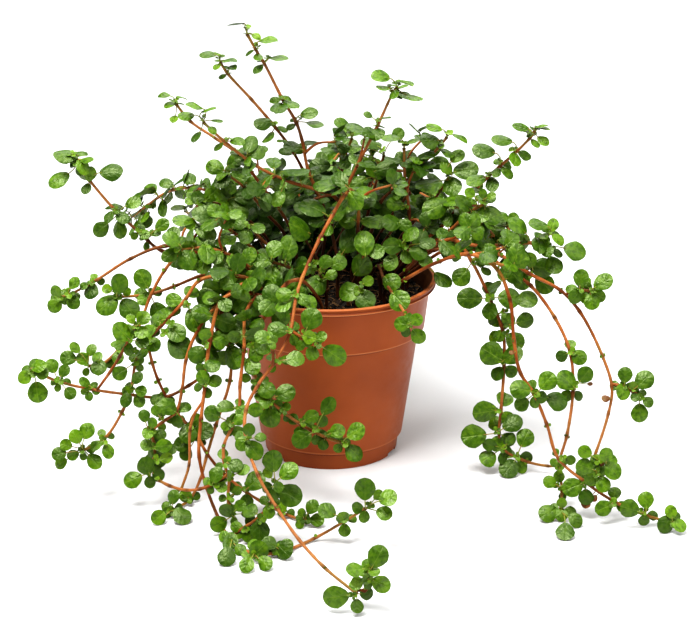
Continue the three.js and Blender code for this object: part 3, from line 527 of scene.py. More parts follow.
crumb_mix = soil_mix("soil_crumbs", SOIL_DARK, CRUMB_LIGHT)
bark = soil_mix("bark_chips", *BARK_COLOURS, 0.8)
straw = soil_mix("root_fibres", *STRAW_COLOURS, 0.75)
crumbs = scattered("soil_crumbs", CRUMBS, CRUMB_SIZE, CRUMB_STRETCH, crumb_mix)
chips = scattered("bark_chips", CHIPS, CHIP_SIZE, CHIP_STRETCH, bark)
fibres = tubes_piece("root_fibres", [fibre() for _ in range(FIBRES)], straw)
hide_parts("soil")
for piece in (soil, crumbs, chips, fibres):
    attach(piece, "root")

# ---- The shoots ----
# Each shoot roots in the soil and stands up in the crown, or climbs over the rim and hangs or lies
# round the pot. Leaves sit at its nodes, in pairs and in rosettes at the tips. Where two seen stems
# would touch, the later one is moved back or forwards, which the front view doesn't show.

# How a shoot was picked: root is where it leaves the soil and depth the Y of its first and its last
# pick, in metres. Stem, leaves and sprigs are pixels, and a leaf is its blade's (across, down,
# length). A sprig starts from the stem at its first pick.
SEEN = {}


def seen(side, root, depth, stem, leaves, sprigs=()):
    """Adds a shoot that the picture shows at a side of the plant."""
    shoot = {"root": root, "depth": depth, "stem": stem, "leaves": leaves, "sprigs": sprigs}
    SEEN.setdefault(side, []).append(shoot)


seen("left", (-0.030, 0.003), (-0.004, -0.014), [
    (248, 262), (205, 256), (162, 251), (140, 233), (115, 210), (90, 181), (77, 164), (76, 158),
], [
    (66, 155, 24), (87, 160, 14), (74, 164, 9), (59, 179, 22), (90, 174, 15), (111, 171, 22),
    (109, 216, 13), (122, 217, 15), (101, 229, 17), (119, 229, 17), (133, 203, 16),
    (144, 234, 12), (156, 233, 9), (162, 225, 15),
])
seen("left", (-0.036, -0.006), (-0.012, -0.030), [
    (250, 272), (205, 250), (165, 246), (130, 259), (95, 281), (68, 295), (60, 297),
], [
    (91, 291, 16), (74, 283, 13), (73, 302, 14), (56, 292, 13), (55, 305, 15), (84, 286, 9),
])
seen("left", (-0.033, -0.015), (-0.024, -0.046), [
    (248, 284), (222, 272), (200, 276), (175, 286), (150, 294), (120, 297),
], [
    (107, 304, 23), (119, 284, 20), (107, 289, 10), (129, 308, 21), (127, 292, 9), (143, 279, 20),
    (144, 299, 14), (158, 311, 18),
])
seen("left", (-0.027, -0.020), (-0.028, -0.062), [
    (243, 272), (210, 256), (182, 252), (165, 270), (150, 297), (138, 328), (120, 348),
    (102, 364), (88, 366),
], [
    (68, 358, 16), (75, 348, 12), (91, 350, 12), (83, 359, 13), (99, 366, 16), (118, 357, 14),
])
seen("left", (-0.022, -0.029), (-0.050, -0.072), [
    (258, 290), (236, 288), (222, 310), (215, 340), (205, 372), (188, 386), (165, 397),
    (125, 394), (90, 389), (60, 382), (33, 371),
], [
    (38, 366, 15), (25, 377, 14), (42, 373, 13), (52, 366, 14), (37, 392, 20), (64, 371, 13),
    (70, 393, 13), (89, 396, 9), (85, 382, 12), (158, 399, 15), (122, 332, 21), (131, 319, 10),
    (141, 332, 14), (143, 318, 14), (142, 342, 14),
], [
    [(97, 390), (110, 372), (120, 356), (128, 340), (135, 328)],
])
seen("left", (-0.015, -0.034), (-0.042, -0.074), [
    (262, 282), (236, 276), (200, 280), (185, 300), (167, 320), (150, 338), (136, 362),
    (131, 390), (122, 412), (105, 438), (84, 450),
], [
    (176, 332, 21), (179, 347, 25), (195, 320, 24), (153, 344, 15), (142, 354, 13),
    (123, 345, 12), (120, 373, 15), (129, 389, 12), (141, 391, 12), (126, 399, 15),
    (139, 401, 13), (137, 378, 13), (87, 431, 16), (76, 437, 14), (66, 445, 12), (59, 454, 14),
    (61, 463, 13), (73, 455, 12), (94, 461, 17), (108, 451, 15), (96, 445, 12), (188, 433, 19),
    (204, 431, 18), (182, 444, 16), (172, 449, 12), (186, 454, 13), (161, 459, 17),
], [
    [(148, 342), (152, 362), (158, 380), (168, 400), (177, 413), (188, 425), (197, 436)],
])
seen("left", (-0.008, -0.038), (-0.050, -0.084), [
    (266, 290), (244, 284), (222, 300), (198, 330), (186, 360), (182, 390), (176, 412),
    (164, 421), (152, 432), (155, 448), (153, 462), (150, 472),
], [
    (144, 416, 12), (156, 411, 11), (168, 407, 18), (152, 423, 11), (148, 433, 12),
    (160, 434, 12), (147, 445, 13), (163, 446, 15), (146, 466, 18), (133, 479, 18),
    (150, 482, 12), (166, 458, 12),
])
seen("top", (-0.006, 0.008), (0.008, -0.004), [
    (325, 215), (308, 170), (302, 140), (296, 122), (283, 100), (264, 63), (256, 50), (247, 34),
], [
    (236, 24, 18), (246, 25, 9), (256, 36, 10), (268, 40, 18), (258, 57, 12), (279, 58, 18),
    (279, 107, 20), (291, 103, 18), (309, 113, 17), (315, 124, 17),
])
seen("top", (-0.012, 0.018), (0.022, 0.008), [
    (328, 225), (308, 180), (292, 150), (275, 127), (252, 100), (228, 74), (220, 62),
], [
    (208, 54, 16), (218, 54, 9), (217, 66, 11), (230, 60, 14), (232, 67, 12), (268, 137, 16),
    (263, 123, 18), (282, 141, 10),
])
seen("top", (-0.002, -0.008), (-0.012, -0.022), [
    (345, 235), (338, 200), (320, 191), (285, 180), (255, 165), (225, 142), (203, 122),
], [
    (208, 109, 15), (195, 106, 18), (186, 116, 16), (217, 121, 12), (196, 136, 14),
    (212, 130, 10), (237, 141, 15), (295, 171, 28), (278, 197, 18),
])
seen("top", (-0.018, -0.002), (-0.002, -0.010), [
    (290, 228), (263, 188), (250, 170), (235, 152), (215, 138), (190, 121), (176, 104),
], [
    (164, 95, 12), (182, 97, 14), (170, 104, 12), (174, 119, 10), (240, 158, 14), (265, 183, 18),
])
seen("top", (0.004, -0.015), (-0.020, -0.008), [
    (338, 262), (332, 222), (345, 191), (361, 158), (377, 127), (393, 93), (397, 88),
], [
    (383, 88, 15), (381, 76, 18), (405, 82, 19), (404, 95, 16), (414, 97, 18), (368, 115, 9),
    (386, 118, 10), (313, 207, 26), (317, 221, 16), (328, 230, 13), (338, 213, 18),
    (347, 222, 16), (350, 240, 26), (325, 184, 23), (343, 176, 18), (366, 194, 21),
    (352, 201, 15),
])
seen("top", (0.022, 0.004), (0.004, 0.000), [
    (392, 255), (408, 235), (409, 210), (405, 180), (404, 148),
], [
    (412, 141, 14), (391, 138, 18), (402, 142, 9), (395, 204, 16), (399, 193, 14), (416, 160, 14),
])
seen("top", (0.012, 0.016), (0.014, 0.002), [
    (372, 230), (382, 200), (405, 182), (420, 167), (440, 146), (447, 137),
], [
    (434, 128, 16), (430, 140, 20), (449, 132, 10), (460, 137, 16), (441, 146, 9), (425, 155, 20),
])
seen("top", (0.028, 0.008), (0.004, -0.008), [
    (410, 250), (440, 228), (462, 203), (490, 175), (515, 153), (530, 138), (535, 131),
], [
    (521, 127, 17), (541, 126, 13), (545, 129, 10), (543, 141, 13), (484, 150, 22),
    (502, 140, 20), (515, 159, 18), (507, 171, 15), (476, 180, 20), (492, 184, 18),
])
seen("right", (0.036, 0.000), (-0.006, -0.022), [
    (405, 262), (435, 250), (470, 246), (500, 245), (525, 243), (545, 246),
], [
    (519, 225, 21), (538, 224, 18), (553, 225, 14), (543, 236, 11), (508, 239, 19),
    (558, 239, 14), (547, 250, 15), (557, 253, 12), (575, 250, 22), (524, 257, 16),
    (554, 265, 19),
], [
    [(528, 243), (540, 240), (549, 234)],
])
seen("right", (0.031, -0.012), (-0.018, -0.046), [
    (405, 272), (432, 246), (455, 240), (472, 262), (490, 299), (503, 332), (504, 365),
    (501, 410), (499, 433), (502, 448), (525, 461), (548, 466), (566, 466),
], [
    (487, 255, 24), (462, 276, 19), (443, 279, 20), (470, 298, 24), (509, 298, 21),
    (527, 299, 20), (486, 271, 11), (508, 319, 14), (525, 321, 17), (515, 341, 19),
    (492, 354, 23), (512, 355, 21), (485, 412, 24), (474, 436, 24), (512, 423, 20),
    (525, 438, 18), (510, 440, 11), (490, 445, 14), (488, 458, 17), (503, 458, 12),
    (509, 468, 20),
])
seen("right", (0.040, 0.006), (-0.006, -0.104), [
    (420, 256), (450, 245), (480, 252), (505, 268), (530, 285), (555, 318), (570, 352),
    (573, 390), (567, 435), (559, 465), (562, 490), (560, 512),
], [
    (579, 357, 16), (585, 375, 17), (568, 380, 21), (548, 519, 19), (561, 519, 13),
    (570, 512, 12), (575, 525, 15), (565, 535, 19), (562, 503, 10), (559, 476, 12),
    (550, 482, 13),
])
seen("right", (0.041, -0.003), (-0.014, -0.072), [
    (425, 262), (462, 244), (500, 255), (530, 274), (560, 290), (580, 312), (602, 355),
    (612, 388), (608, 415), (595, 455), (586, 478),
], [
    (625, 375, 15), (623, 391, 17), (644, 380, 20), (633, 385, 8), (635, 397, 9), (648, 402, 11),
    (640, 413, 18), (581, 278, 17), (603, 282, 20), (576, 296, 16), (592, 301, 16),
], [
    [(611, 384), (622, 386), (632, 391), (639, 396)],
    [(566, 294), (580, 290), (590, 291)],
])
seen("right", (0.030, -0.022), (-0.040, -0.114), [
    (404, 280), (438, 262), (470, 254), (496, 268), (510, 300), (514, 340), (520, 372),
    (534, 394), (547, 425), (558, 458), (585, 482), (615, 502), (645, 515), (670, 522),
], [
    (521, 389, 20), (522, 404, 15), (547, 381, 19), (541, 397, 12), (557, 400, 21),
    (570, 460, 11), (585, 452, 14), (585, 467, 18), (606, 455, 15), (613, 470, 19),
    (603, 484, 16), (573, 487, 20), (586, 497, 15), (604, 508, 17), (630, 509, 19),
    (646, 500, 16), (671, 512, 13), (666, 531, 18), (679, 525, 15),
], [
    [(589, 485), (597, 472), (604, 462)],
])
seen("right", (0.043, 0.013), (0.008, -0.006), [
    (430, 252), (460, 234), (492, 238), (516, 254), (532, 270),
], [
    (542, 268, 22), (544, 284, 20), (522, 281, 18), (530, 260, 15), (497, 236, 17),
])
seen("front", (-0.030, -0.026), (-0.044, -0.092), [
    (254, 276), (240, 262), (230, 276), (228, 320), (231, 350), (230, 380), (216, 425),
    (207, 455), (200, 480), (190, 499), (173, 510),
], [
    (173, 497, 14), (186, 496, 13), (168, 512, 12), (159, 522, 15), (182, 520, 19),
    (207, 298, 20), (218, 307, 22), (226, 294, 13), (238, 290, 15), (250, 308, 22),
    (237, 304, 11), (250, 328, 20), (230, 330, 24), (244, 338, 14), (213, 341, 22),
    (233, 357, 25),
])
seen("front", (-0.019, -0.038), (-0.052, -0.130), [
    (262, 296), (240, 292), (222, 300), (210, 340), (205, 385), (201, 420), (199, 455),
    (206, 486), (218, 517), (232, 540), (255, 554), (280, 552), (315, 538), (345, 521),
    (366, 508),
], [
    (312, 507, 15), (302, 513, 9), (317, 520, 14), (300, 525, 9), (269, 512, 13), (282, 507, 11),
    (273, 461, 21), (288, 471, 20), (255, 481, 21), (268, 473, 11), (290, 495, 24),
    (278, 487, 12), (230, 546, 18), (250, 537, 18), (227, 562, 19), (258, 551, 20),
    (240, 552, 12), (247, 569, 16), (265, 567, 16), (283, 555, 20), (260, 530, 20),
    (270, 543, 15), (327, 511, 18), (343, 518, 14), (365, 489, 21), (388, 498, 18),
    (384, 513, 16), (378, 495, 11), (197, 354, 18), (212, 365, 16), (203, 378, 15),
    (214, 381, 14),
], [
    [(200, 440), (206, 452), (222, 472), (245, 491), (262, 502), (285, 514), (305, 521)],
    [(230, 537), (245, 527), (260, 516), (270, 504), (275, 486)],
    [(203, 400), (194, 415), (190, 430), (189, 465), (181, 490)],
])
seen("front", (-0.010, -0.042), (-0.058, -0.118), [
    (274, 302), (258, 296), (246, 312), (244, 350), (240, 385), (239, 410), (232, 427),
    (224, 445), (224, 462), (229, 480), (228, 500), (234, 515),
], [
    (212, 414, 17), (226, 407, 17), (238, 420, 12), (243, 410, 13), (226, 426, 10),
    (255, 410, 15), (216, 475, 16), (235, 465, 15), (243, 470, 13), (229, 475, 10),
    (221, 487, 12), (237, 491, 10), (227, 511, 16), (240, 506, 12), (247, 514, 11),
    (219, 524, 17), (234, 521, 9),
], [
    [(228, 476), (213, 484), (200, 489), (185, 490), (170, 486), (158, 480)],
])
seen("front", (0.016, -0.020), (-0.026, -0.200), [
    (358, 232), (358, 206), (351, 190), (344, 196), (333, 214), (320, 238), (308, 264),
    (297, 293), (290, 332), (275, 362), (258, 385), (246, 410), (246, 440), (258, 475),
    (277, 508), (300, 541), (325, 568), (357, 594),
], [
    (278, 329, 19), (263, 337, 15), (272, 345, 9), (295, 359, 18), (286, 360, 10), (309, 337, 14),
    (321, 337, 12), (312, 353, 14), (311, 319, 21), (334, 355, 24), (249, 430, 13),
    (243, 443, 15), (254, 450, 20), (260, 437, 11), (378, 557, 22), (355, 570, 18),
    (374, 572, 13), (357, 582, 12), (381, 584, 19), (336, 597, 25), (357, 606, 14),
    (303, 299, 14), (284, 305, 18),
], [
    [(291, 330), (303, 338), (315, 342)],
    [(272, 366), (273, 352), (268, 341)],
    [(350, 590), (366, 590), (368, 578), (370, 570)],
])
seen("front", (-0.004, -0.046), (-0.060, -0.088), [
    (300, 280), (286, 284), (274, 304), (260, 325), (252, 345), (250, 362), (258, 382),
    (270, 400), (300, 424), (325, 437), (343, 443),
], [
    (266, 389, 19), (285, 393, 20), (270, 417, 20), (265, 403, 12), (286, 407, 9), (328, 406, 19),
    (311, 417, 15), (322, 422, 12), (302, 439, 20), (337, 431, 15), (356, 432, 19),
    (354, 452, 19), (346, 442, 9), (272, 295, 20), (268, 307, 19), (256, 353, 16), (252, 366, 18),
    (246, 378, 10),
])
seen("front", (0.020, -0.012), (-0.024, -0.072), [
    (378, 266), (384, 280), (394, 296), (405, 314), (409, 325),
], [
    (391, 281, 18), (399, 300, 22), (403, 324, 15), (416, 320, 13), (418, 336, 16),
])
seen("crown", (-0.038, 0.010), (0.012, 0.002), [
    (285, 238), (265, 212), (245, 188), (228, 175),
], [
    (215, 167, 18), (235, 161, 18), (222, 175, 14), (237, 170, 13), (252, 181, 13),
    (230, 187, 16),
])
seen("crown", (-0.042, -0.001), (0.000, -0.008), [
    (270, 246), (250, 222), (226, 205), (206, 202),
], [
    (198, 197, 14), (212, 194, 18), (222, 199, 18), (207, 205, 14), (235, 208, 26),
    (244, 196, 20), (190, 201, 10),
])
seen("crown", (-0.043, -0.012), (-0.016, -0.026), [
    (262, 262), (238, 236), (214, 222), (194, 226),
], [
    (205, 215, 24), (205, 230, 24), (183, 220, 20), (191, 224, 14), (227, 222, 14),
    (190, 245, 16),
])
seen("crown", (-0.040, -0.022), (-0.030, -0.042), [
    (258, 276), (232, 256), (206, 248), (181, 249),
], [
    (172, 239, 18), (170, 255, 18), (187, 259, 22), (207, 253, 22), (203, 266, 16),
    (222, 270, 14), (235, 262, 16),
])
seen("crown", (-0.020, -0.020), (-0.026, -0.030), [
    (286, 262), (262, 240), (250, 226),
], [
    (240, 225, 11), (258, 228, 15), (246, 236, 17), (230, 240, 14),
])
seen("crown", (-0.010, -0.026), (-0.036, -0.044), [
    (300, 275), (286, 266), (272, 262),
], [
    (262, 261, 17), (274, 249, 18), (289, 250, 21), (272, 275, 18), (251, 275, 11),
    (285, 285, 18), (286, 295, 13),
])
seen("crown", (-0.006, -0.014), (-0.022, -0.026), [
    (318, 262), (308, 244), (303, 236),
], [
    (301, 228, 28), (289, 239, 16), (305, 269, 14), (294, 272, 14),
])
seen("crown", (-0.002, -0.032), (-0.038, -0.044), [
    (322, 280), (320, 274),
], [
    (318, 284, 22), (325, 262, 14), (338, 263, 17), (331, 275, 12),
])
seen("crown", (0.010, -0.028), (-0.036, -0.046), [
    (358, 272), (364, 254),
], [
    (364, 243, 24), (376, 252, 16), (361, 266, 25),
])
seen("crown", (0.014, -0.038), (-0.044, -0.048), [
    (360, 290), (361, 287),
], [
    (350, 292, 21), (365, 299, 21), (368, 281, 11),
])
seen("crown", (0.028, -0.018), (-0.028, -0.034), [
    (382, 270), (395, 256), (402, 247),
], [
    (393, 246, 20), (402, 244, 12), (410, 234, 18), (406, 257, 14), (418, 252, 18),
    (425, 260, 16), (427, 243, 17), (391, 262, 18),
])
seen("crown", (0.014, -0.002), (-0.004, -0.010), [
    (375, 255), (388, 236), (395, 226),
], [
    (379, 222, 18), (392, 222, 20), (404, 225, 15),
])
seen("crown", (0.004, 0.022), (0.020, 0.010), [
    (355, 238), (362, 205), (372, 178),
], [
    (370, 168, 22), (385, 168, 22), (381, 207, 22), (359, 182, 18),
])
seen("crown", (0.008, 0.034), (0.032, 0.020), [
    (365, 222), (374, 190), (384, 155),
], [
    (370, 143, 18), (398, 134, 14), (352, 147, 20), (355, 157, 20), (392, 160, 16),
])
seen("crown", (-0.004, 0.032), (0.032, 0.018), [
    (345, 225), (340, 190), (344, 160), (352, 138),
], [
    (352, 130, 10), (342, 124, 16), (330, 150, 18), (320, 165, 20), (345, 163, 16),
])
seen("crown", (0.020, 0.026), (0.026, 0.012), [
    (385, 225), (408, 195), (425, 170),
], [
    (415, 172, 20), (438, 163, 20), (434, 152, 16), (420, 183, 14),
])
seen("crown", (0.032, 0.020), (0.018, 0.004), [
    (402, 236), (430, 205), (448, 180),
], [
    (457, 156, 16), (466, 170, 24), (429, 184, 27), (452, 186, 22), (447, 168, 14),
])
seen("crown", (0.037, 0.012), (0.010, -0.002), [
    (412, 244), (434, 222), (448, 205),
], [
    (436, 207, 27), (452, 201, 22), (456, 222, 18), (464, 212, 12),
])
seen("crown", (0.044, 0.005), (0.004, -0.008), [
    (424, 250), (450, 230), (470, 212), (484, 204),
], [
    (480, 215, 20), (489, 222, 14), (491, 196, 10), (483, 194, 10), (470, 193, 11),
    (474, 227, 14),
])

STEM_LOWEST = 0.002
STEM_CLEAR = 0.003  # between the middles of two stems
STEM_RISE = 0.006  # straight up out of the soil
FOOT_GAP = 0.00045  # to the soil
PLACE_STEP = 0.002
BARE_PLACES = 4  # at a stem's foot, where no sprig starts
SPRIG_STEP = 0.0015  # how much nearer each pick of a sprig is
# Tried in turn until a shoot is clear: millimetres back if it is seen, and degrees if it is far.
NUDGES = [0, 2, -2, 4, -4, 6, -6, 8, -8, 10, -10, 12, -12, 15, -15]
NUDGE = 0.001
BLADE_GAP = 0.0004  # to the floor
MIDDLE_LOWEST = BLADE_GAP + 0.001  # of a blade's middle
BLADE_FORWARD = (0.0015, 0.0055)  # from its node towards the viewer
BLADE_ROLL = (-0.4, 0.4)
HUB_REACH = 9  # pixels that a blade's middle may lie from its node
HUB_PER_SIZE = 0.75  # and how much further for each pixel of its length
HUB_LIFT = 0.6  # how much nearer a blade is where it covers its stem
LIGHT_HIGH = 0.200  # leaves above this height look straight up
LIGHT_FADE = 0.100  # and turn outwards over this much below it
LIGHT_LEAN = 0.62

# The far shoots can't be seen from the front. They fan out behind, and every third one trails.
FAR_COUNT = 10
FAR_FAN = (34, 146)  # degrees round from the plant's right
FAR_TRAIL_FAN = (71, 112)
FAR_TRAIL_EVERY = 3
FAR_REACH = (0.080, 0.112)
FAR_TRAIL_REACH = (0.096, 0.124)
FAR_CREST = (0.116, 0.138)
FAR_SWAY = (-0.016, 0.016)
FAR_ROOT = (0.040, 0.047)  # radius, taken by turns
FAR_OVER_RIM = (0.002, 0.004)  # outside its root, and over the rim
# shares of the reach, and of the crest's height where the shoot is level and where it trails
FAR_RUN = [(0.3, 1, 1), (0.65, 1, 0.6), (1, 0.82, 0.08)]
FAR_NODES = 7
FAR_LEAFY_FROM = 0.3
FAR_STEP = 0.004  # share of the stem, to either side of a node, that tells its direction
FAR_TURN = 1.3  # radians, from node to node
FAR_AT_TIP = 4
FAR_LEAF = (0.008, 0.0125)
FAR_STALK = 0.0022
FAR_AHEAD = 0.25
FAR_RISE = 0.3


def unit(vector):
    return vector / np.linalg.norm(vector)


def held(share):
    """A share kept from 0 to 1."""
    return min(1.0, max(0.0, share))


def turned(vector, axis, angle):
    """A vector turned about a unit axis."""
    across = np.cross(axis, vector)
    along = axis * (axis @ vector)
    return vector * math.cos(angle) + across * math.sin(angle) + along * (1 - math.cos(angle))


def chance(a, b):
    """A repeatable number from 0 to 1 for a pair of counters."""
    wave = math.sin(a * 127.1 + b * 311.7) * 43758.5453
    return wave - math.floor(wave)


def placed(across, down, depth, lowest=STEM_LOWEST):
    """The point at a depth behind a pixel, or before it where that would be under the floor."""
    ray = FORWARD * FOCAL + UPWARD * (PICTURE[1] / 2 - down) + [across - PICTURE[0] / 2, 0, 0]
    point = EYE + ray * ((depth - EYE[1]) / ray[1])
    if point[2] < lowest:
        point = EYE + ray * ((lowest - EYE[2]) / ray[2])
    return point


def pixel_size(point):
    """Metres that one pixel covers at a point."""
    return (point - EYE) @ FORWARD / FOCAL


def pixel_of(points):
    """How far across and down the picture a point shows, or each of several."""
    offsets = np.asarray(points) - EYE
    scales = offsets @ FORWARD / FOCAL
    return PICTURE[0] / 2 + offsets[..., 0] / scales, PICTURE[1] / 2 - offsets @ UPWARD / scales


def nearest(points, across, down):
    """The point that shows nearest to a pixel, and its gap in pixels."""
    shown_across, shown_down = pixel_of(points)
    gaps = np.hypot(shown_across - across, shown_down - down)
    index = int(np.argmin(gaps))
    return points[index], gaps[index]


def line_through(points, divisions=200):
    """Evenly spaced places along a smooth line through points, and a finder of its points."""
    points = [np.asarray(point, float) for point in points]
    last = len(points) - 1

    def at(share):
        run = min(int(share * last), last - 1)
        t = share * last - run
        p1, p2 = points[run], points[run + 1]
        p0 = points[run - 1] if run > 0 else 2 * p1 - p2
        p3 = points[run + 2] if run + 2 <= last else 2 * p2 - p1
        pairs = (p0, p1), (p1, p2), (p2, p3)
        dt0, dt1, dt2 = (math.sqrt(np.linalg.norm(b - a)) for a, b in pairs)
        t1 = ((p1 - p0) / dt0 - (p2 - p0) / (dt0 + dt1) + (p2 - p1) / dt1) * dt1
        t2 = ((p2 - p1) / dt1 - (p3 - p1) / (dt1 + dt2) + (p3 - p2) / dt2) * dt1
        c2 = -3 * p1 + 3 * p2 - 2 * t1 - t2
        c3 = 2 * p1 - 2 * p2 + t1 + t2
        return p1 + t1 * t + c2 * t * t + c3 * t * t * t

    ticks = np.linspace(0, 1, divisions + 1)
    marks = np.array([at(tick) for tick in ticks])
    lengths = np.concatenate([[0], np.cumsum(np.linalg.norm(np.diff(marks, axis=0), axis=1))])

    def spaced(shares):
        wanted = np.interp(np.asarray(shares) * lengths[-1], lengths, ticks)
        return np.array([at(tick) for tick in wanted])

    count = math.ceil(lengths[-1] / PLACE_STEP)
    return {"length": lengths[-1], "spaced": spaced, "places": spaced(np.linspace(0, 1, count + 1))}


def seen_lines(shoot, nudge):
    """A seen shoot's stem and its sprigs, set back by a nudge, and the nodes on them."""
    x, y = shoot["root"]
    foot = np.array([x, y, soil_height(x, y) + FOOT_GAP])
    picks = shoot["stem"]
    along = np.cumsum([0, *[math.dist(a, b) for a, b in zip(picks, picks[1:])]])
    nodes = [
        placed(*pick, between(shoot["depth"], share) + nudge * NUDGE)
        for pick, share in zip(picks, along / along[-1])
    ]
    lines = [line_through([foot, foot + [0, 0, STEM_RISE], *nodes])]
    for sprig in shoot["sprigs"]:
        start, _ = nearest(lines[0]["places"][BARE_PLACES:], *sprig[0])
        rest = [placed(*pick, start[1] - SPRIG_STEP * (i + 1)) for i, pick in enumerate(sprig[1:])]
        lines.append(line_through([start, *rest]))
        nodes += rest
    return {"lines": lines, "nodes": nodes}


def facing_at(height, outward):
    """High leaves look straight up, and low ones more outwards."""
    low = held((LIGHT_HIGH - height) / LIGHT_FADE)
    return unit(outward * low + np.array([0, 0, 1 - LIGHT_LEAN * low]))


def seen_blades(shoot, found, seed):
    """The blades of a seen shoot. Each grows from the nearest node, or from the stem beside it."""
    places = [place for line in found["lines"] for place in line["places"]]
    nodes = list(found["nodes"])
    blades = []
    for i, (across, down, size) in enumerate(shoot["leaves"]):
        beside, beside_gap = nearest(places, across, down)
        hub, hub_gap = nearest(nodes, across, down)
        if hub_gap > HUB_REACH + HUB_PER_SIZE * size:
            nodes.append(beside)
            hub = beside
        scale = pixel_size(hub)
        covered = max(0.0, size / 2 - min(hub_gap, beside_gap)) * scale
        forward = between(BLADE_FORWARD, chance(seed, i)) + HUB_LIFT * covered
        blades.append({
            "from": hub,
            "middle": placed(across, down, hub[1] - forward, MIDDLE_LOWEST),
            "length": size * scale,
            "facing": facing_at(hub[2], -FORWARD),
            "roll": between(BLADE_ROLL, chance(seed, i + 0.5)),
        })
    return blades


def far_trails(index):
    """Whether a far shoot trails."""
    return index % FAR_TRAIL_EVERY == 1


def far_heading(index, nudge):
    """Which way a far shoot runs from the pot's axis."""
    fan = FAR_TRAIL_FAN if far_trails(index) else FAR_FAN
    angle = math.radians(between(fan, (index + 0.5) / FAR_COUNT) + nudge)
    return np.array([math.cos(angle), math.sin(angle), 0])


def far_lines(index, nudge):
    """A far shoot's stem: over the rim, up to its crest, and then level or down."""
    heading = far_heading(index, nudge)
    trails = far_trails(index)
    reach = between(FAR_TRAIL_REACH if trails else FAR_REACH, chance(index, 1))
    crest = between(FAR_CREST, 0 if trails else chance(index, 2))
    root = FAR_ROOT[index % 2]
    sideways = np.array([-heading[1], heading[0], 0])
    sway = between(FAR_SWAY, chance(index, 3))
    runs = [
        (root, soil_height(root, 0) + FOOT_GAP),
        (root + FAR_OVER_RIM[0], POT_HEIGHT + FAR_OVER_RIM[1]),
        *[(root + out * reach, crest * (low if trails else level)) for out, level, low in FAR_RUN],
    ]
    points = [
        heading * radius + sideways * sway * ((radius - root) / reach) ** 2 + [0, 0, height]
        for radius, height in runs
    ]
    return {"lines": [line_through(points)], "nodes": []}


def far_blades(index, found, nudge):
    """The blades of a far shoot: pairs that turn from node to node, and a rosette at the tip."""
    outward = far_heading(index, nudge)
    line = found["lines"][0]
    blades = []
    for node in range(1, FAR_NODES + 1):
        share = between((FAR_LEAFY_FROM, 1), node / FAR_NODES)
        before, start, after = line["spaced"]([share - FAR_STEP, share, min(1, share + FAR_STEP)])
        found["nodes"].append(start)
        ahead = unit(after - before)
        count = FAR_AT_TIP if node == FAR_NODES else 2
        for k in range(count):
            turn = k * 2 * math.pi / count + node * FAR_TURN + chance(index, node)
            side = turned(unit(np.array([-ahead[1], ahead[0], 0])), ahead, turn)
            side = unit(side + FAR_AHEAD * ahead + [0, 0, FAR_RISE])
            length = between(FAR_LEAF, chance(index + 0.5, node + k / 8))
            blades.append({
                "from": start,
                "middle": start + side * (length / 2 + FAR_STALK),
                "length": length,
                "facing": facing_at(start[2], outward),
                "roll": between(BLADE_ROLL, chance(index, node + 0.1 * k)),
            })
    return blades


def settled(lines_for, taken):
    """A shoot's stems and their nudge: the first that keeps them clear of the others, or none."""
    for nudge in [*NUDGES, 0]:
        found = lines_for(nudge)
        places = np.concatenate([line["places"] for line in found["lines"]])
        if not taken:
            break
        gaps = np.linalg.norm(places[:, None] - np.concatenate(taken)[None], axis=2)
        if gaps.min() > STEM_CLEAR:
            break
    taken.append(places)
    return found, nudge


shoots = []
taken = []
for side, grown in SEEN.items():
    for i, shoot in enumerate(grown):
        found, _ = settled(lambda nudge: seen_lines(shoot, nudge), taken)
        found["name"] = f"{side}_{i + 1:02d}"
        found["blades"] = seen_blades(shoot, found, len(shoots))
        shoots.append(found)
for i in range(FAR_COUNT):
    found, nudge = settled(lambda nudge: far_lines(i, nudge), taken)
    found["name"] = f"back_{i + 1:02d}"
    found["blades"] = far_blades(i, found, nudge)
    shoots.append(found)

# ---- The leaves ----
# Round scalloped blades with a sunken midrib, lime green when young and deep green when old. One
# leaf is modelled as a shallow lens with six rounded teeth on each side, and is then copied. Old
# copies droop at their edges and young ones are cupped upwards, as each turns towards the light.

LEAF_TEETH = 12
BUD_TEETH = 6
LEAF_RINGS = 4
LEAF_NOTCH = 0.988  # the radius at a notch, as a share of the radius at a tooth
LEAF_WIDTH = 0.97  # width over length
LEAF_PINCH = 0.26  # how much narrower the base is
LEAF_THICK = 0.045
LEAF_BELLY = 0.6  # the underside's depth beside the top's
BALL = 0.5  # radius of the ball that a leaf is pressed from

FACE_ON = 0.8  # how flat a blade lies across the way that it faces
OPEN_TO_FRONT = 0.4  # how far blades turn to the front
BLADE_GROWN = 1.08  # the picked lengths are of blades seen a little from the side
CUP_OLD = (0.22, 0.28)  # mean and spread
CUP_YOUNG = -0.55
CUP_BY_AGE = (0.1, 1.6)  # how far a blade has opened: when new, and more with age
CURL = (0.16, 0.14)
CURL_FROM = 0.25
WAVE = (0.012, 0.037)
WAVES = 3
FOLD = (0.020, 0.055)
MIDRIB = 0.02  # half of its width
BROAD_LOW = 0.97
BROAD_HIGH = 0.82  # blades high in the crown are narrower
BROAD_VARY = 0.05
HIGH_FROM = 0.1
HIGH_OVER = 0.06

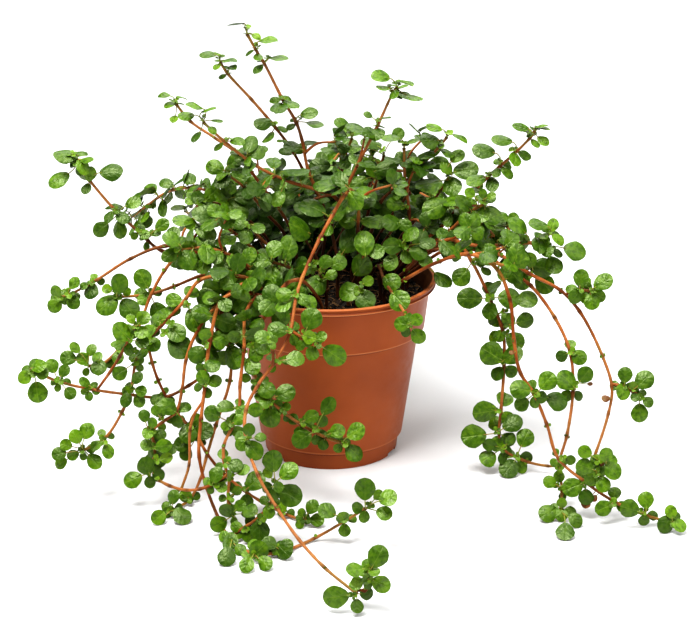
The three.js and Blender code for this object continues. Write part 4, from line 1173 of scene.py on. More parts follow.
VEIN_STEP = 0.27
VEIN_SLANT = 0.9
MIDRIB_EDGES = (0.004, 0.024)  # where a vein's colour starts to fade and where it ends
SIDE_VEIN_EDGES = (0.004, 0.03)
SIDE_VEIN_STRENGTH = 0.35
LEAF_GREENS = [  # age and colour
    (0.0, (0.150, 0.270, 0.004)), (0.2, (0.100, 0.215, 0.002)), (0.45, (0.072, 0.166, 0.001)),
    (0.85, (0.046, 0.113, 0.001)),
]
UNDER_GREENS = [(0.0, (0.20, 0.32, 0.03)), (0.6, (0.12, 0.19, 0.04))]
LEAF_VEIN = (0.20, 0.30, 0.03)
UNDER_VEIN = (0.22, 0.32, 0.10)
VEIN_STRENGTH = 0.38
# colours laid over the green: guide, low, high, strength at low and at high, colour
MOTTLING = [
    ("mottle", 0.50, 0.72, 0, 0.65, (0.13, 0.225, 0.005)),
    ("mottle", 0.52, 0.34, 0, 0.7, (0.018, 0.053, 0.0005)),
]
# a leaf's shade is up to 1 when it is fresh, a darker tone at random; above 1 it is painted shade,
# up to 3 deep in the crown; and -1 when withered
TONES_AND_PAINTED_SHADE = [
    ("shade", 0.2, 1, 0, 0.72, (0.013, 0.044, 0.0005)),
    # painted shade: nearly black leaves deep in the crown
    ("shade", 1.0, 2.0, 0, 1, (0.004, 0.010, 0.001)),
    ("shade", -1.0, -0.5, 1, 0, (0.150, 0.042, 0.012)),
]
LEAF_SHEEN = (0.88, 1.0, 0.55, 1)
LEAF_ROUGHNESS = (0.31, 0.46)
MOTTLE_SCALE = 400  # per metre
PUCKER_SCALE = 520
SWELL = 2.4  # how high the skin stands between its veins
VEIN_SINK = 0.5
PUCKERS = 2.2
PUCKER_DEPTH = 0.00030
PUCKER_STRENGTH = 0.52


def leaf_model(teeth):
    """A leaf that reaches from (0, 0) to (1, 0) and faces +Z: its points, faces and undersides."""
    bpy.ops.object.select_all(action="DESELECT")
    bpy.ops.mesh.primitive_uv_sphere_add(segments=2 * teeth, ring_count=LEAF_RINGS, radius=BALL)
    ball = bpy.context.active_object
    bpy.ops.object.mode_set(mode="EDIT")
    bpy.ops.transform.resize(value=(1, 1, 2 * LEAF_THICK))
    bpy.ops.mesh.select_all(action="DESELECT")
    bpy.ops.object.mode_set(mode="OBJECT")
    for point in ball.data.vertices:
        point.select = point.co.z < -LEAF_THICK / 10
    bpy.ops.object.mode_set(mode="EDIT")
    bpy.ops.mesh.merge(type="CENTER")
    bpy.ops.object.mode_set(mode="OBJECT")
    points = np.array([point.co for point in ball.data.vertices])
    faces = [tuple(face.vertices) for face in ball.data.polygons]
    bpy.data.objects.remove(ball)
    turn = np.arctan2(points[:, 1], points[:, 0])
    radius = np.hypot(points[:, 0], points[:, 1])
    edge = radius > 0.98 * BALL
    toothed = 1 - (1 - LEAF_NOTCH) * (0.5 - 0.5 * np.cos(teeth * turn)) * edge
    along = BALL + points[:, 0] * toothed
    pinch = 1 - LEAF_PINCH * np.clip(BALL - along, 0, BALL) / BALL
    across = points[:, 1] * toothed * LEAF_WIDTH * pinch
    flat = 1 - radius**2 / BALL**2
    rise = np.where(points[:, 2] < 0, -LEAF_THICK * LEAF_BELLY, LEAF_THICK * flat)
    lower = int(np.argmin(points[:, 2]))
    return {
        "points": np.stack([along, across, rise], axis=1),
        "faces": sorted(faces, key=lambda face: lower in face),
        "under": sum(lower in face for face in faces),
    }


def blade_frame(start, middle, length, facing, roll):
    """Where a blade lies: its base, its heading, its side and the way that its face looks."""
    heading = unit(middle - start)
    heading = unit(heading - FACE_ON * (heading @ facing) * facing)
    up = unit(facing - (facing @ heading) * heading)
    up = turned(up, heading, roll)
    return middle - heading * length / 2, heading, np.cross(up, heading), up


def blade_points(model, frame, length, bend):
    """A copied leaf's points, after it is cupped, curled, waved and folded."""
    base, heading, side, up = frame
    broad, cup, curl, wave, phase, fold = bend
    local = model["points"] * [1, broad, 1]
    around = np.arctan2(local[:, 1], local[:, 0] - 0.5)
    out = np.hypot(local[:, 0] - 0.5, local[:, 1]) * 2
    rise = local[:, 2] - cup * local[:, 1] ** 2 - curl * np.clip(local[:, 0] - CURL_FROM, 0, 1) ** 2
    rise = rise + wave * out**2 * np.sin(WAVES * around + phase)
    rise = rise - fold * (np.abs(local[:, 1]) < MIDRIB)
    points = base + length * (
        np.outer(local[:, 0], heading) + np.outer(local[:, 1], side) + np.outer(rise, up)
    )
    points[:, 2] += max(0.0, BLADE_GAP - points[:, 2].min())
    return points


def carried(tree, name):
    """A number that each point of the piece carries."""
    return shader_node(tree, "Attribute", attribute_name=name).outputs["Fac"]


def washed(tree, tone, washes, guides):
    """A tone with colours laid over it, each as strong as a guide's value makes it."""
    for guide, low, high, at_low, at_high, colour in washes:
        factor = spread(tree, guides[guide], low, high, at_low, at_high)
        tone = blend(tree, factor, tone, colour)
    return tone


def leaf_skin(name, greens, vein, sheen):
    """A leaf's skin: glossy and puckered, with paler veins. It reads the leaf's age and shade, which
    holds painted shade.
    """
    material, tree, shader = new_material(name, Specular_IOR_Level=0.2, Specular_Tint=LEAF_SHEEN)
    age, shade = carried(tree, "leaf_age"), carried(tree, "leaf_shade")
    on_blade = shader_node(tree, "UVMap", uv_map="blade").outputs["UV"]
    along, across, _ = shader_node(tree, "SeparateXYZ", {"Vector": on_blade}).outputs
    off_middle = maths(tree, "ABSOLUTE", maths(tree, "SUBTRACT", across, 0.5))
    slanted = maths(tree, "SUBTRACT", along, maths(tree, "MULTIPLY", off_middle, VEIN_SLANT))
    between_veins = maths(tree, "PINGPONG", slanted, VEIN_STEP / 2)
    midrib = spread(tree, off_middle, *MIDRIB_EDGES, 1, 0)
    side_veins = spread(tree, between_veins, *SIDE_VEIN_EDGES, SIDE_VEIN_STRENGTH, 0)
    veins = maths(tree, "MAXIMUM", midrib, side_veins)
    place = spot_on(tree)
    mottle = speckle(tree, place, MOTTLE_SCALE, 4)
    tone = washed(tree, ramp(tree, age, *greens), MOTTLING, {"mottle": mottle})
    tone = blend(tree, maths(tree, "MULTIPLY", veins, VEIN_STRENGTH), tone, vein)
    # random darker tones, painted shade and the withered brown
    tone = washed(tree, tone, TONES_AND_PAINTED_SHADE, {"shade": shade})
    tree.links.new(tone, shader.inputs["Base Color"])
    swell = maths(tree, "MULTIPLY", between_veins, SWELL)
    height = maths(tree, "SUBTRACT", swell, maths(tree, "MULTIPLY", veins, VEIN_SINK))
    puckers = maths(tree, "MULTIPLY", speckle(tree, place, PUCKER_SCALE, 2), PUCKERS)
    surface = bump(tree, maths(tree, "ADD", puckers, height), PUCKER_DEPTH, PUCKER_STRENGTH)
    tree.links.new(surface, shader.inputs["Normal"])
    tree.links.new(spread(tree, mottle, 0.3, 0.8, *LEAF_ROUGHNESS), shader.inputs["Roughness"])
    # the upper skin's gloss fades where the painted shade is deep
    if sheen:
        shine = spread(tree, shade, 1.0, 2.0, 0.50, 0.03)
        tree.links.new(shine, shader.inputs["Specular IOR Level"])
    return material


mature_leaf = leaf_model(LEAF_TEETH)
bud_leaf = leaf_model(BUD_TEETH)
LEAF_SKINS = [
    leaf_skin("leaf_upper", LEAF_GREENS, LEAF_VEIN, True),
    leaf_skin("leaf_underside", UNDER_GREENS, UNDER_VEIN, False),
]

# ---- The stems and stalks ----
# Stems are wiry tubes of thin red-brown bark, thinner towards the tip and swollen at their nodes.
# Every leaf has a thin pale green stalk, which leaves a node and bends to run in under its blade.

STEM_RADIUS = (0.00074, 0.00102)  # at a young tip and at the root
STEM_SIDES = 8
STEM_STEP = 0.0025
STEM_TAPER = 1.3
STEM_VARY = 0.05
SPRIG_SHARE = 0.8  # a sprig's thickness beside its stem's
NODE_SWELL = 0.38
NODE_REACH = 0.0013
TUBE_GAP = 0.0001  # to the floor
STALK_RADIUS = 0.00032
STALK_SIDES = 5
STALK_FULL = 0.02  # blades longer than half of this have a stalk of full thickness
STALK_UNDER = 0.12  # how far it runs under its blade, beside the blade's length
STALK_SINK = 0.02
STALK_BEND = 0.45
BUD_SIZE = 0.0042  # blades shorter than this have fewer teeth

BARK, STALK = 0, 1
BARK_TONES = [
    (0.32, (0.100, 0.026, 0.006)), (0.46, (0.24, 0.056, 0.009)), (0.58, (0.42, 0.135, 0.034)),
    (0.72, (0.30, 0.145, 0.024)),
]
BARK_WASHES = [
    ("age", 0.50, 0.80, 0, 0.6, (0.40, 0.160, 0.045)),
    ("age", 0.88, 1.0, 0, 0.6, (0.20, 0.17, 0.020)),
    ("fleck", 0.45, 0.8, 0, 0.45, (0.070, 0.017, 0.004)),
    ("knot", 0.15, 0.9, 0, 0.75, (0.045, 0.011, 0.003)),
    # painted shade: nearly black near the crown's middle, over the soil
    ("from middle", 0.040, 0.072, 0.88, 0, (0.026, 0.009, 0.004)),
]
BARK_SHEEN = (1, 0.75, 0.5, 1)
BARK_SCALE = 45  # per metre
BARK_DEPTH = 0.00015
FLECK_SCALE = 900
STEM_SHADE_MIDDLE = (0, 0, 0.10)  # painted shade: stems near here, over the soil, are nearly black
STALK_TONES = [(0.35, (0.20, 0.28, 0.03)), (0.7, (0.26, 0.14, 0.025))]
STALK_SCALE = 300


class Foliage:
    """Collects the stems, stalks and blades of one shoot."""

    def __init__(self):
        self.stem_points, self.stem_faces, self.stem_skin = [], [], []
        self.stem_age, self.stem_knot = [], []
        self.leaf_points, self.leaf_faces, self.leaf_skin = [], [], []
        self.leaf_places, self.leaf_age, self.leaf_shade = [], [], []
        self.stem_count = self.leaf_count = 0

    def add_tube(self, path, radii, sides, skin, age, knot):
        """A stem or a stalk, with its age and its nearness to a node at each point of its path."""
        points, faces = swept(path, radii, sides)
        points[:, 2] = np.maximum(points[:, 2], TUBE_GAP)
        self.stem_points.append(points)
        self.stem_faces += [tuple(corner + self.stem_count for corner in face) for face in faces]
        self.stem_skin += [skin] * len(faces)
        rings = np.repeat(np.stack([age, knot]), sides, axis=1)
        ends = np.array([[age[0], age[-1]], [knot[0], knot[-1]]])
        both = np.concatenate([rings, ends], axis=1)
        self.stem_age.append(both[0])
        self.stem_knot.append(both[1])
        self.stem_count += len(points)

    def add_blade(self, model, points, age, shade):
        """A copied leaf at these points."""
        faces = model["faces"]
        self.leaf_points.append(points)
        self.leaf_faces += [tuple(corner + self.leaf_count for corner in face) for face in faces]
        self.leaf_skin += [0] * (len(faces) - model["under"]) + [1] * model["under"]
        self.leaf_places.append(model["points"][:, :2])
        self.leaf_age.append(np.full(len(points), age))
        self.leaf_shade.append(np.full(len(points), shade))
        self.leaf_count += len(points)


def add_stem(foliage, line, nodes, thick, thin):
    """A stem along its line, thinner towards the tip and swollen at its nodes."""
    count = max(4, math.ceil(line["length"] / STEM_STEP))
    share = np.linspace(0, 1, count + 1)
    path = line["spaced"](share)
    gaps = np.full(len(path), 1.0)
    if len(nodes):
        gaps = np.linalg.norm(path[:, None] - np.asarray(nodes)[None], axis=2).min(axis=1)
    knot = np.exp(-((gaps / NODE_REACH) ** 2))
    radii = (thick + (thin - thick) * share**STEM_TAPER) * (1 + NODE_SWELL * knot)
    radii *= 1 + STEM_VARY * rng.normal(size=len(radii))
    foliage.add_tube(path, radii, STEM_SIDES, BARK, share, knot)


def add_stalked_leaf(foliage, start, middle, length, facing, roll, age, shade=None):
    """A blade with its stalk, which bends from the stem's node to the base of the blade."""
    frame = blade_frame(start, middle, length, facing, roll)
    base, heading, _, up = frame
    high = held((start[2] - HIGH_FROM) / HIGH_OVER)
    broad = between((BROAD_LOW, BROAD_HIGH), high) + rng.normal(0, BROAD_VARY)
    grown = min(1.0, CUP_BY_AGE[1] * age + CUP_BY_AGE[0])
    cup = between((CUP_YOUNG, rng.normal(*CUP_OLD)), grown)
    curl = rng.normal(*CURL)
    wave = between(WAVE, rng.random())
    phase = 2 * math.pi * rng.random()
    fold = between(FOLD, rng.random())
    shade = rng.random() if shade is None else shade
    model = mature_leaf if length > BUD_SIZE else bud_leaf
    points = blade_points(model, frame, length, (broad, cup, curl, wave, phase, fold))
    foliage.add_blade(model, points, age, shade)
    reach = np.linalg.norm(base - start)
    ticks = np.linspace(0, 1, 5)[:, None]
    inward = base + STALK_UNDER * length * heading
    pull = base - heading * STALK_BEND * reach
    path = (1 - ticks) ** 2 * start + 2 * ticks * (1 - ticks) * pull + ticks**2 * inward
    path[-1] -= STALK_SINK * length * up
    width = STALK_RADIUS * min(1.0, 0.5 + length / STALK_FULL)
    foliage.add_tube(path, [width] * 5, STALK_SIDES, STALK, [age] * 5, [0.0] * 5)


def stem_bark():
    """Thin smooth bark with tan and olive lengths, darker at the nodes and greener when young, with
    painted shade near the crown's middle.
    """
    material, tree, shader = new_material(
        "stem_bark", Specular_IOR_Level=0.25, Specular_Tint=BARK_SHEEN, Roughness=0.42
    )
    place = spot_on(tree)
    fine = speckle(tree, place, FLECK_SCALE, 3)
    from_shade_middle = shader_node(tree, "VectorMath", {0: place, 1: STEM_SHADE_MIDDLE}, operation="DISTANCE")
    tone = ramp(tree, speckle(tree, place, BARK_SCALE, 1), *BARK_TONES)
    tone = washed(tree, tone, BARK_WASHES, {
        "age": carried(tree, "stem_age"),
        "fleck": fine,
        "knot": carried(tree, "stem_knot"),
        "from middle": from_shade_middle.outputs["Value"],
    })
    tree.links.new(tone, shader.inputs["Base Color"])
    tree.links.new(bump(tree, fine, BARK_DEPTH), shader.inputs["Normal"])
    return material


def stalk_skin():
    """Leaf stalks: pale green, with pink lengths."""
    material, tree, shader = new_material("leaf_stalk", Specular_IOR_Level=0.4, Roughness=0.45)
    tone = ramp(tree, speckle(tree, spot_on(tree), STALK_SCALE, 2), *STALK_TONES)
    tree.links.new(tone, shader.inputs["Base Color"])
    return material


STEM_SKINS = [stem_bark(), stalk_skin()]


def float_attribute(piece, name, values):
    """Gives each point of a piece a number that its material reads."""
    attribute = piece.data.attributes.new(name, "FLOAT", "POINT")
    attribute.data.foreach_set("value", np.concatenate(values))


def grown_pieces(foliage, name):
    """The shoot's stems and leaves as two pieces."""
    points = np.concatenate(foliage.stem_points)
    stems = mesh_piece(
        f"stems_{name}", points, foliage.stem_faces, STEM_SKINS, foliage.stem_skin
    )
    float_attribute(stems, "stem_age", foliage.stem_age)
    float_attribute(stems, "stem_knot", foliage.stem_knot)
    points = np.concatenate(foliage.leaf_points)
    leaves = mesh_piece(
        f"leaves_{name}", points, foliage.leaf_faces, LEAF_SKINS, foliage.leaf_skin
    )
    float_attribute(leaves, "leaf_age", foliage.leaf_age)
    float_attribute(leaves, "leaf_shade", foliage.leaf_shade)
    places = np.concatenate(foliage.leaf_places)
    corners = np.zeros(len(leaves.data.loops), dtype=int)
    leaves.data.loops.foreach_get("vertex_index", corners)
    layer = leaves.data.uv_layers.new(name="blade")
    layer.data.foreach_set("uv", (places[corners] + [0, 0.5]).ravel().astype(np.float32))
    for piece, slot, edge in ((stems, "stem", 50), (leaves, "leaf", 60)):
        only(piece)
        bpy.ops.object.shade_smooth_by_angle(angle=math.radians(edge))
        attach(piece, "root")
    return stems, leaves


# ---- The rosettes ----
# Leaves open in rosettes round a stem's nodes, the youngest in the middle. A node that bears picked
# blades gets half-grown leaves in the widest gaps between them and a tuft of the youngest on top.

STALK_SHARE = 0.16  # how long a stalk is beside its blade
AGE_NEW = 0.003  # the length of a blade of no age
AGE_FULL = 0.012
TURN_VARY = 0.2  # radians
ROSETTE_AHEAD = 0.5  # how far its leaves lean along the stem
ROSETTE_RISE = 0.3
ROSETTE_OUT = 0.55  # from the node to a blade's middle, beside the blade's length
ROSETTE_TILT = (0.35, 0.2)  # along the stem, and to the front
ROSETTE_VARY = 0.24
ROSETTE_AGE_VARY = 0.08
ROSETTE_ASKEW = [0.3, 0.2, 1.0]  # any way that no stem runs
GAP_WIDE = math.radians(98)
GAP_LEAF = (0.62, 0.86)  # the length of a half-grown leaf beside the picked ones
GAP_LEAF_SHORTEST = 0.0048
GAP_LEAF_BACK = 0.0010
GAP_LEAF_TILT = 0.30
GAP_LEAF_VARY = 0.16
GAP_LEAF_AGE = (0.25, 0.65)
TUFT_COUNT = 4
TUFT_LEAF = (0.0015, 0.0036)
TUFT_LIFT = 0.0016
TUFT_IN = 0.32  # how far the tuft lies from the node towards the middle of the blades
TUFT_RISE = 0.6
TUFT_OUT = 0.62
TUFT_TILT = 0.25
TUFT_VARY = 0.12
TUFT_AGE = 0.25  # at most
TUFT_ASKEW = [0.1, 0.2, 1.0]
TUFT_STEM = [0.0005, 0.00042, 0.0003]  # radii
TUFT_SIDES = 6
BUD_SPREAD = 0.8
PAIR = 2
AXIL_LEAF = (0.0014, 0.0024)
AXIL_CHANCE = 0.5


def direction_at(line, node):
    """Which way a stem runs at a node."""
    places = line["places"]
    index = int(np.argmin(np.linalg.norm(places - node, axis=1)))
    return unit(places[min(index + 1, len(places) - 1)] - places[max(index - 1, 0)] + 1e-9)


def add_rosette(foliage, ahead, node, count, sizes, spread_out, shade=None):
    """Leaves round a node, which open along the stem."""
    first = rng.random() * 2 * math.pi
    across = unit(np.cross(ahead, ROSETTE_ASKEW))
    for k in range(count):
        length = between(sizes, rng.random())
        turn = first + k * 2 * math.pi / count + rng.normal(0, TURN_VARY)
        side = turned(across, ahead, turn)
        out = unit(side * spread_out + ROSETTE_AHEAD * ahead + [0, 0, ROSETTE_RISE])
        middle = node + out * (length * ROSETTE_OUT + STALK_SHARE * length)
        light = facing_at(node[2], -FORWARD) + ROSETTE_TILT[0] * ahead - ROSETTE_TILT[1] * FORWARD
        up = unit(light + rng.normal(0, ROSETTE_VARY, 3))
        grown = (length - AGE_NEW) / (AGE_FULL - AGE_NEW)
        age = held(grown + rng.normal(0, ROSETTE_AGE_VARY))
        roll = rng.normal(0, TURN_VARY)
        add_stalked_leaf(foliage, node, middle, length, up, roll, age, shade)


def wide_gaps(turns):
    """The angles at which one or two more leaves go into each wide gap between the blades."""
    gaps = []
    for a, b in zip(turns, [*turns[1:], turns[0] + 2 * math.pi]):
        if b - a > GAP_WIDE:
            parts = min(2, int((b - a) / GAP_WIDE))
            gaps += [a + (b - a) * (k + 1) / (parts + 1) for k in range(parts)]
    return gaps


def fill_rosette(foliage, hub, blades, full):
    """Adds a tuft to a rosette of picked blades, and half-grown leaves where it is full."""
    facing = sum(blade["facing"] for blade in blades) - OPEN_TO_FRONT * len(blades) * FORWARD
    facing = unit(facing)
    across = unit(np.cross(facing, TUFT_ASKEW))
    up = np.cross(facing, across)
    mean = sum(blade["length"] for blade in blades) / len(blades)
    turns = []
    for blade in blades:
        out = blade["middle"] - hub
        flat = out - (out @ facing) * facing
        turns.append(math.atan2(flat @ up, flat @ across))
    for turn in wide_gaps(sorted(turns)) if full else []:
        length = max(GAP_LEAF_SHORTEST, mean * between(GAP_LEAF, rng.random()))
        out = across * math.cos(turn) + up * math.sin(turn)
        middle = hub + out * length * (0.5 + STALK_SHARE) - facing * GAP_LEAF_BACK
        tilted = unit(facing + GAP_LEAF_TILT * out + rng.normal(0, GAP_LEAF_VARY, 3))
        roll = rng.normal(0, TURN_VARY)
        age = between(GAP_LEAF_AGE, rng.random())
        add_stalked_leaf(foliage, hub, middle, length, tilted, roll, age)
    centre = hub + TUFT_IN * (sum(blade["middle"] for blade in blades) / len(blades) - hub)
    centre = centre + facing * TUFT_LIFT
    first = rng.random() * 2 * math.pi
    for k in range(TUFT_COUNT):
        length = between(TUFT_LEAF, rng.random())
        turn = first + k * 2 * math.pi / TUFT_COUNT + rng.normal(0, TURN_VARY)
        out = unit(across * math.cos(turn) + up * math.sin(turn) + TUFT_RISE * facing)
        middle = centre + out * length * TUFT_OUT
        tilted = unit(facing - TUFT_TILT * out + rng.normal(0, TUFT_VARY, 3))
        add_stalked_leaf(foliage, centre, middle, length, tilted, 0.0, TUFT_AGE * rng.random())
    path = [hub, between((hub, centre), 0.5), centre]
    foliage.add_tube(path, TUFT_STEM, TUFT_SIDES, STALK, [1] * 3, [0] * 3)


# ---- The crown ----
# Over the pot the leaves are denser than the picked ones, and painted darker further in, as shade.
# Where a stem passes through it, pairs of leaves and short leafy twigs grow from it as well.

# outlines in pixels: the crown, and the hollow over the soil, where rosettes stay thin
CROWN = [
    (172, 262), (180, 210), (206, 176), (226, 152), (262, 138), (300, 132), (340, 140), (375, 132),
    (420, 130), (452, 134), (474, 146), (492, 172), (506, 200), (530, 225), (545, 262), (500, 285),
    (440, 250), (400, 225), (330, 215), (262, 212), (250, 262),
]
HOLLOW = [
    (250, 262), (262, 212), (330, 215), (400, 225), (440, 250), (442, 285), (410, 318), (318, 318),
]
# the stems that lean over the rim at the plant's left are leafy too, and so is the middle's crest
CUFFS = [
    [(204, 262), (292, 260), (304, 296), (268, 350), (212, 352)],
    [(338, 186), (368, 186), (372, 226), (346, 226)],
]
CROWN_STEP = 0.0160
CROWN_LOWEST = 0.112
CROWN_LEAF = (0.0070, 0.0118)
CROWN_SPREAD = 1.0  # how far its leaves open across the stem
# painted shade darkens the crown's leaves towards this middle, within CROWN_DEEP of it
CROWN_MIDDLE = np.array([0.0, 0.0, 0.10])
CROWN_DEEP = 0.085
CROWN_PAINTED_SHADE = 2.0
TWIG_CHANCE = 0.38
TWIG_LENGTH = (0.012, 0.030)
TWIG_LEAN = 0.5  # along its stem
TWIG_UP = 0.5
TWIG_RISE = 0.15  # of its tip, beside its length
TWIG_DIVISIONS = 20
TWIG_RADIUS = (1.05, 0.75)  # at its foot and its tip, beside a young stem's tip
TWIG_LEAVES = 4
TWIG_BUDS = 3
CUFF_STEP = 0.0095
CUFF_LEAF = (0.0075, 0.0120)
CUFF_SPREAD = 1.4
INNER_STEP = 0.0042
INNER_COUNT = 3
INNER_LEAF = (0.0085, 0.0135)
INNER_SPREAD = 1.6
INNER_HEIGHTS = (0.099, 0.135)
INNER_REACH = 0.075
# painted shade: these leaves are nearly black
INNER_SHADE = 1.8
BLADE_FULL = 0.0125  # the length of a full-grown blade
AGE_BY_SIZE = 0.9
AGE_BY_TIP = 0.25  # how much younger a blade is at a tip
TIP_REACH = 0.05
PICKED_AGE_VARY = 0.1
PICKED_VARY = 0.15
# a few brown withered leaves hang on at old nodes: (across, down, length) in pixels
WITHERED = [(606, 398, 9), (590, 384, 6), (586, 503, 11), (594, 498, 8), (512, 352, 6)]
WITHERED_SHADE = -1.0
WITHERED_ROLL = 0.6


def crown_shade(spot):
    """How dark a leaf in the crown is: a random tone, with painted shade that deepens towards the
    middle.
    """
    deep = 1 - np.linalg.norm(spot - CROWN_MIDDLE) / CROWN_DEEP
    return rng.random() + CROWN_PAINTED_SHADE * max(0.0, deep)


def inside(outline, spot):
    """Whether a pixel lies inside an outline."""
    odd = False
    for (ax, ay), (bx, by) in zip(outline, outline[1:] + outline[:1]):
        level = (ay > spot[1]) != (by > spot[1])
        if level and spot[0] < ax + (spot[1] - ay) / (by - ay) * (bx - ax):
            odd = not odd
    return odd


def spots_along(line, step):
    """Evenly spaced spots on a stem."""
    return line["spaced"](np.arange(step, line["length"], step) / line["length"])


def add_twig(foliage, start, ahead):
    """A short side twig with a rosette at its tip."""
    out = unit(rng.normal(size=3) + TWIG_LEAN * ahead + [0, 0, TWIG_UP])
    length = between(TWIG_LENGTH, rng.random())
    tip = start + out * length + [0, 0, TWIG_RISE * length]
    if not inside(CROWN, pixel_of(tip)):
        return
    bend = start + 0.5 * length * unit(out + TWIG_LEAN * ahead)
    thick, thin = (STEM_RADIUS[0] * share for share in TWIG_RADIUS)
    line = line_through([start, bend, tip], TWIG_DIVISIONS)
    add_stem(foliage, line, [start, tip], thick, thin)
    add_rosette(foliage, out, tip, TWIG_LEAVES, CROWN_LEAF, CROWN_SPREAD, crown_shade(tip))
    add_rosette(foliage, out, tip, TWIG_BUDS, TUFT_LEAF, BUD_SPREAD)


def fill_crown(foliage, line, back):
    """Leaves and twigs on the part of a stem that is in the crown."""
    for spot in spots_along(line, CROWN_STEP):
        if spot[2] < CROWN_LOWEST or not (back or inside(CROWN, pixel_of(spot))):
            continue
        ahead = direction_at(line, spot)
        add_rosette(foliage, ahead, spot, PAIR, CROWN_LEAF, CROWN_SPREAD, crown_shade(spot))
        if rng.random() < TWIG_CHANCE:
            add_twig(foliage, spot, ahead)


def fill_cuff(foliage, line):
    """Leaves on the part of a stem that leans over the rim."""
    for spot in spots_along(line, CUFF_STEP):
        if any(inside(cuff, pixel_of(spot)) for cuff in CUFFS) and spot[1] < 0:
            add_rosette(foliage, direction_at(line, spot), spot, PAIR, CUFF_LEAF, CUFF_SPREAD)


def fill_inside(foliage, line):
    """Leaves low on a far stem, painted nearly black as shade, which close off the hollow over the
    soil.
    """
    lowest, highest = INNER_HEIGHTS
    for spot in spots_along(line, INNER_STEP):
        if lowest < spot[2] < highest and spot[:2] @ spot[:2] < INNER_REACH**2:
            ahead = direction_at(line, spot)
            add_rosette(
                foliage, ahead, spot, INNER_COUNT, INNER_LEAF, INNER_SPREAD, INNER_SHADE
            )


def hubs_of(shoot):
    """A shoot's nodes, each with the blades that grow from it."""
    hubs = [{"node": node, "blades": []} for node in shoot["nodes"]]
    for blade in shoot["blades"]:
        found = [hub for hub in hubs if np.linalg.norm(hub["node"] - blade["from"]) < NODE_REACH]
        if not found:
            found = [{"node": blade["from"], "blades": []}]
            hubs += found
        found[0]["blades"].append(blade)
    return hubs


def add_picked(foliage, blade, lines):
    """A picked blade, younger if it is small or near a tip."""
    tip = min(np.linalg.norm(blade["from"] - line["places"][-1]) for line in lines)
    size = blade["length"] / BLADE_FULL
    age = AGE_BY_SIZE * size - AGE_BY_TIP + AGE_BY_TIP * min(1, tip / TIP_REACH)
    age = held(age + rng.normal(0, PICKED_AGE_VARY))
    length = blade["length"] * BLADE_GROWN
    facing = blade["facing"] - OPEN_TO_FRONT * FORWARD + rng.normal(0, PICKED_VARY, 3)
    start, middle, roll = blade["from"], blade["middle"], blade["roll"]
    add_stalked_leaf(foliage, start, middle, length, unit(facing), roll, age)


def fill_hub(foliage, hub, lines):
    """A node's rosette, or sometimes a pair of buds where it bears no blades."""
    node = hub["node"]
    if hub["blades"]:
        thin = any(inside(outline, pixel_of(node)) for outline in (CROWN, HOLLOW))
        fill_rosette(foliage, node, hub["blades"], not thin)
    elif rng.random() < AXIL_CHANCE:
        gaps = [np.linalg.norm(line["places"] - node, axis=1).min() for line in lines]
        ahead = direction_at(lines[int(np.argmin(gaps))], node)
        add_rosette(foliage, ahead, node, PAIR, AXIL_LEAF, BUD_SPREAD)


def nearest_shoot(across, down):
    """The seen shoot whose stem shows nearest to a pixel."""
    seen_shoots = [shoot for shoot in shoots if not shoot["name"].startswith("back")]
    return min(
        seen_shoots, key=lambda shoot: nearest(shoot["lines"][0]["places"], across, down)[1]
    )


for shoot in shoots:
    foliage = Foliage()
    back = shoot["name"].startswith("back")
    hubs = hubs_of(shoot)
    for order, line in enumerate(shoot["lines"]):
        thick = STEM_RADIUS[1] if order == 0 else STEM_RADIUS[1] * SPRIG_SHARE
        add_stem(foliage, line, [hub["node"] for hub in hubs], thick, STEM_RADIUS[0])
        fill_crown(foliage, line, back)
        if back:
            fill_inside(foliage, line)
        else:
            fill_cuff(foliage, line)
    for blade in shoot["blades"]:
        add_picked(foliage, blade, shoot["lines"])
    for hub in hubs:
        fill_hub(foliage, hub, shoot["lines"])
    for across, down, size in WITHERED:
        if nearest_shoot(across, down) is shoot:
            start, _ = nearest(shoot["lines"][0]["places"], across, down)
            middle = placed(across, down, start[1] - BLADE_FORWARD[0], BLADE_GAP)
            length = size * pixel_size(start)
            add_stalked_leaf(
                foliage, start, middle, length, -FORWARD, WITHERED_ROLL, 1.0, WITHERED_SHADE
            )
    for piece in grown_pieces(foliage, shoot["name"]):
        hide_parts(f"shoot_{shoot['name']}")

# ---- Floor and light ----
# A plain white studio: a pale floor that runs into a white surround, and four large soft lamps. The
# main one is above the plant's front left, so that a faint grey shadow falls where it touches.

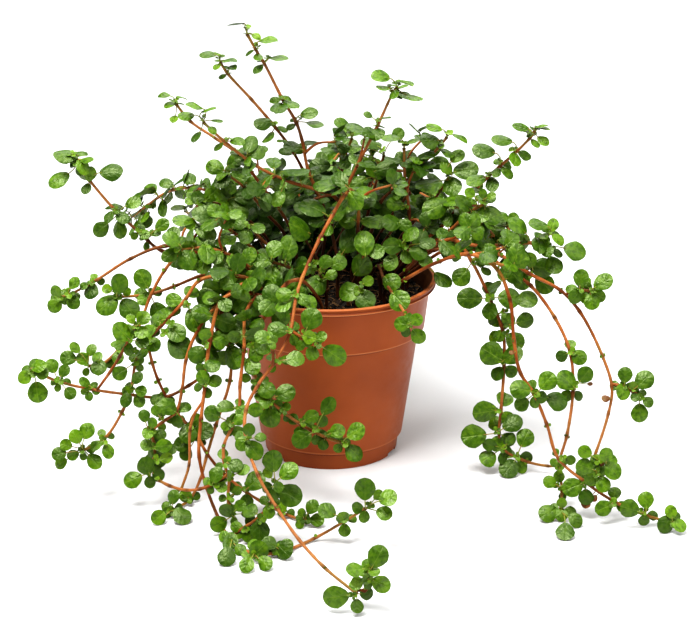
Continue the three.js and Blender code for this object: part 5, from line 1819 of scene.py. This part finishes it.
FLOOR_SIZE = 8
FLOOR_PAPER = (0.70, 0.70, 0.70, 1)
FLOOR_GLOW = (0.02, 0.90)  # by the plant, and far off, where the lamps don't reach
FLOOR_FAR = (0.7, 2.6)
WHITE = (1, 1, 1, 1)
WORLD_LIGHT = 0.14
LAMP_AIM = Vector((0, 0, 0.1))
LAMPS = [  # place, size across, watts
    ((-0.35, -0.55, 1.7), 0.9, 44),
    ((0.9, -0.7, 1.3), 1.4, 13),
    ((0.1, 0.9, 1.6), 1.5, 22),
    ((-1.1, 0.15, 0.5), 0.7, 5),
]

bpy.ops.object.select_all(action="DESELECT")
bpy.ops.mesh.primitive_plane_add(size=FLOOR_SIZE, location=(0, 0, 0))
floor = bpy.context.active_object
floor.name = "studio_floor"
paper, paper_tree, paper_shader = new_material(
    "white_paper",
    Base_Color=FLOOR_PAPER,
    Emission_Color=WHITE,
    Roughness=0.9,
    Specular_IOR_Level=0.1,
)
away = shader_node(paper_tree, "VectorMath", {0: spot_on(paper_tree)}, operation="LENGTH")
glow = spread(paper_tree, away.outputs["Value"], *FLOOR_FAR, *FLOOR_GLOW)
paper_tree.links.new(glow, paper_shader.inputs["Emission Strength"])
floor.data.materials.append(paper)

world = bpy.data.worlds.new("studio")
world.use_nodes = True
world_tree = world.node_tree
background = world_tree.nodes["Background"]
background.inputs["Color"].default_value = WHITE
seen_directly = shader_node(world_tree, "LightPath").outputs["Is Camera Ray"]
strength = spread(world_tree, seen_directly, 0, 1, WORLD_LIGHT, 1)
world_tree.links.new(strength, background.inputs["Strength"])
bpy.context.scene.world = world
for place, size, watts in LAMPS:
    lamp = bpy.data.lights.new("softbox", "AREA")
    lamp.shape = "DISK"
    lamp.size = size
    lamp.energy = watts
    holder = bpy.data.objects.new("softbox", lamp)
    holder.location = place
    holder.rotation_euler = (LAMP_AIM - Vector(place)).to_track_quat("-Z", "Y").to_euler()
    bpy.context.scene.collection.objects.link(holder)
bpy.context.scene.view_settings.view_transform = "Standard"
bpy.context.scene.view_settings.look = "Medium High Contrast"
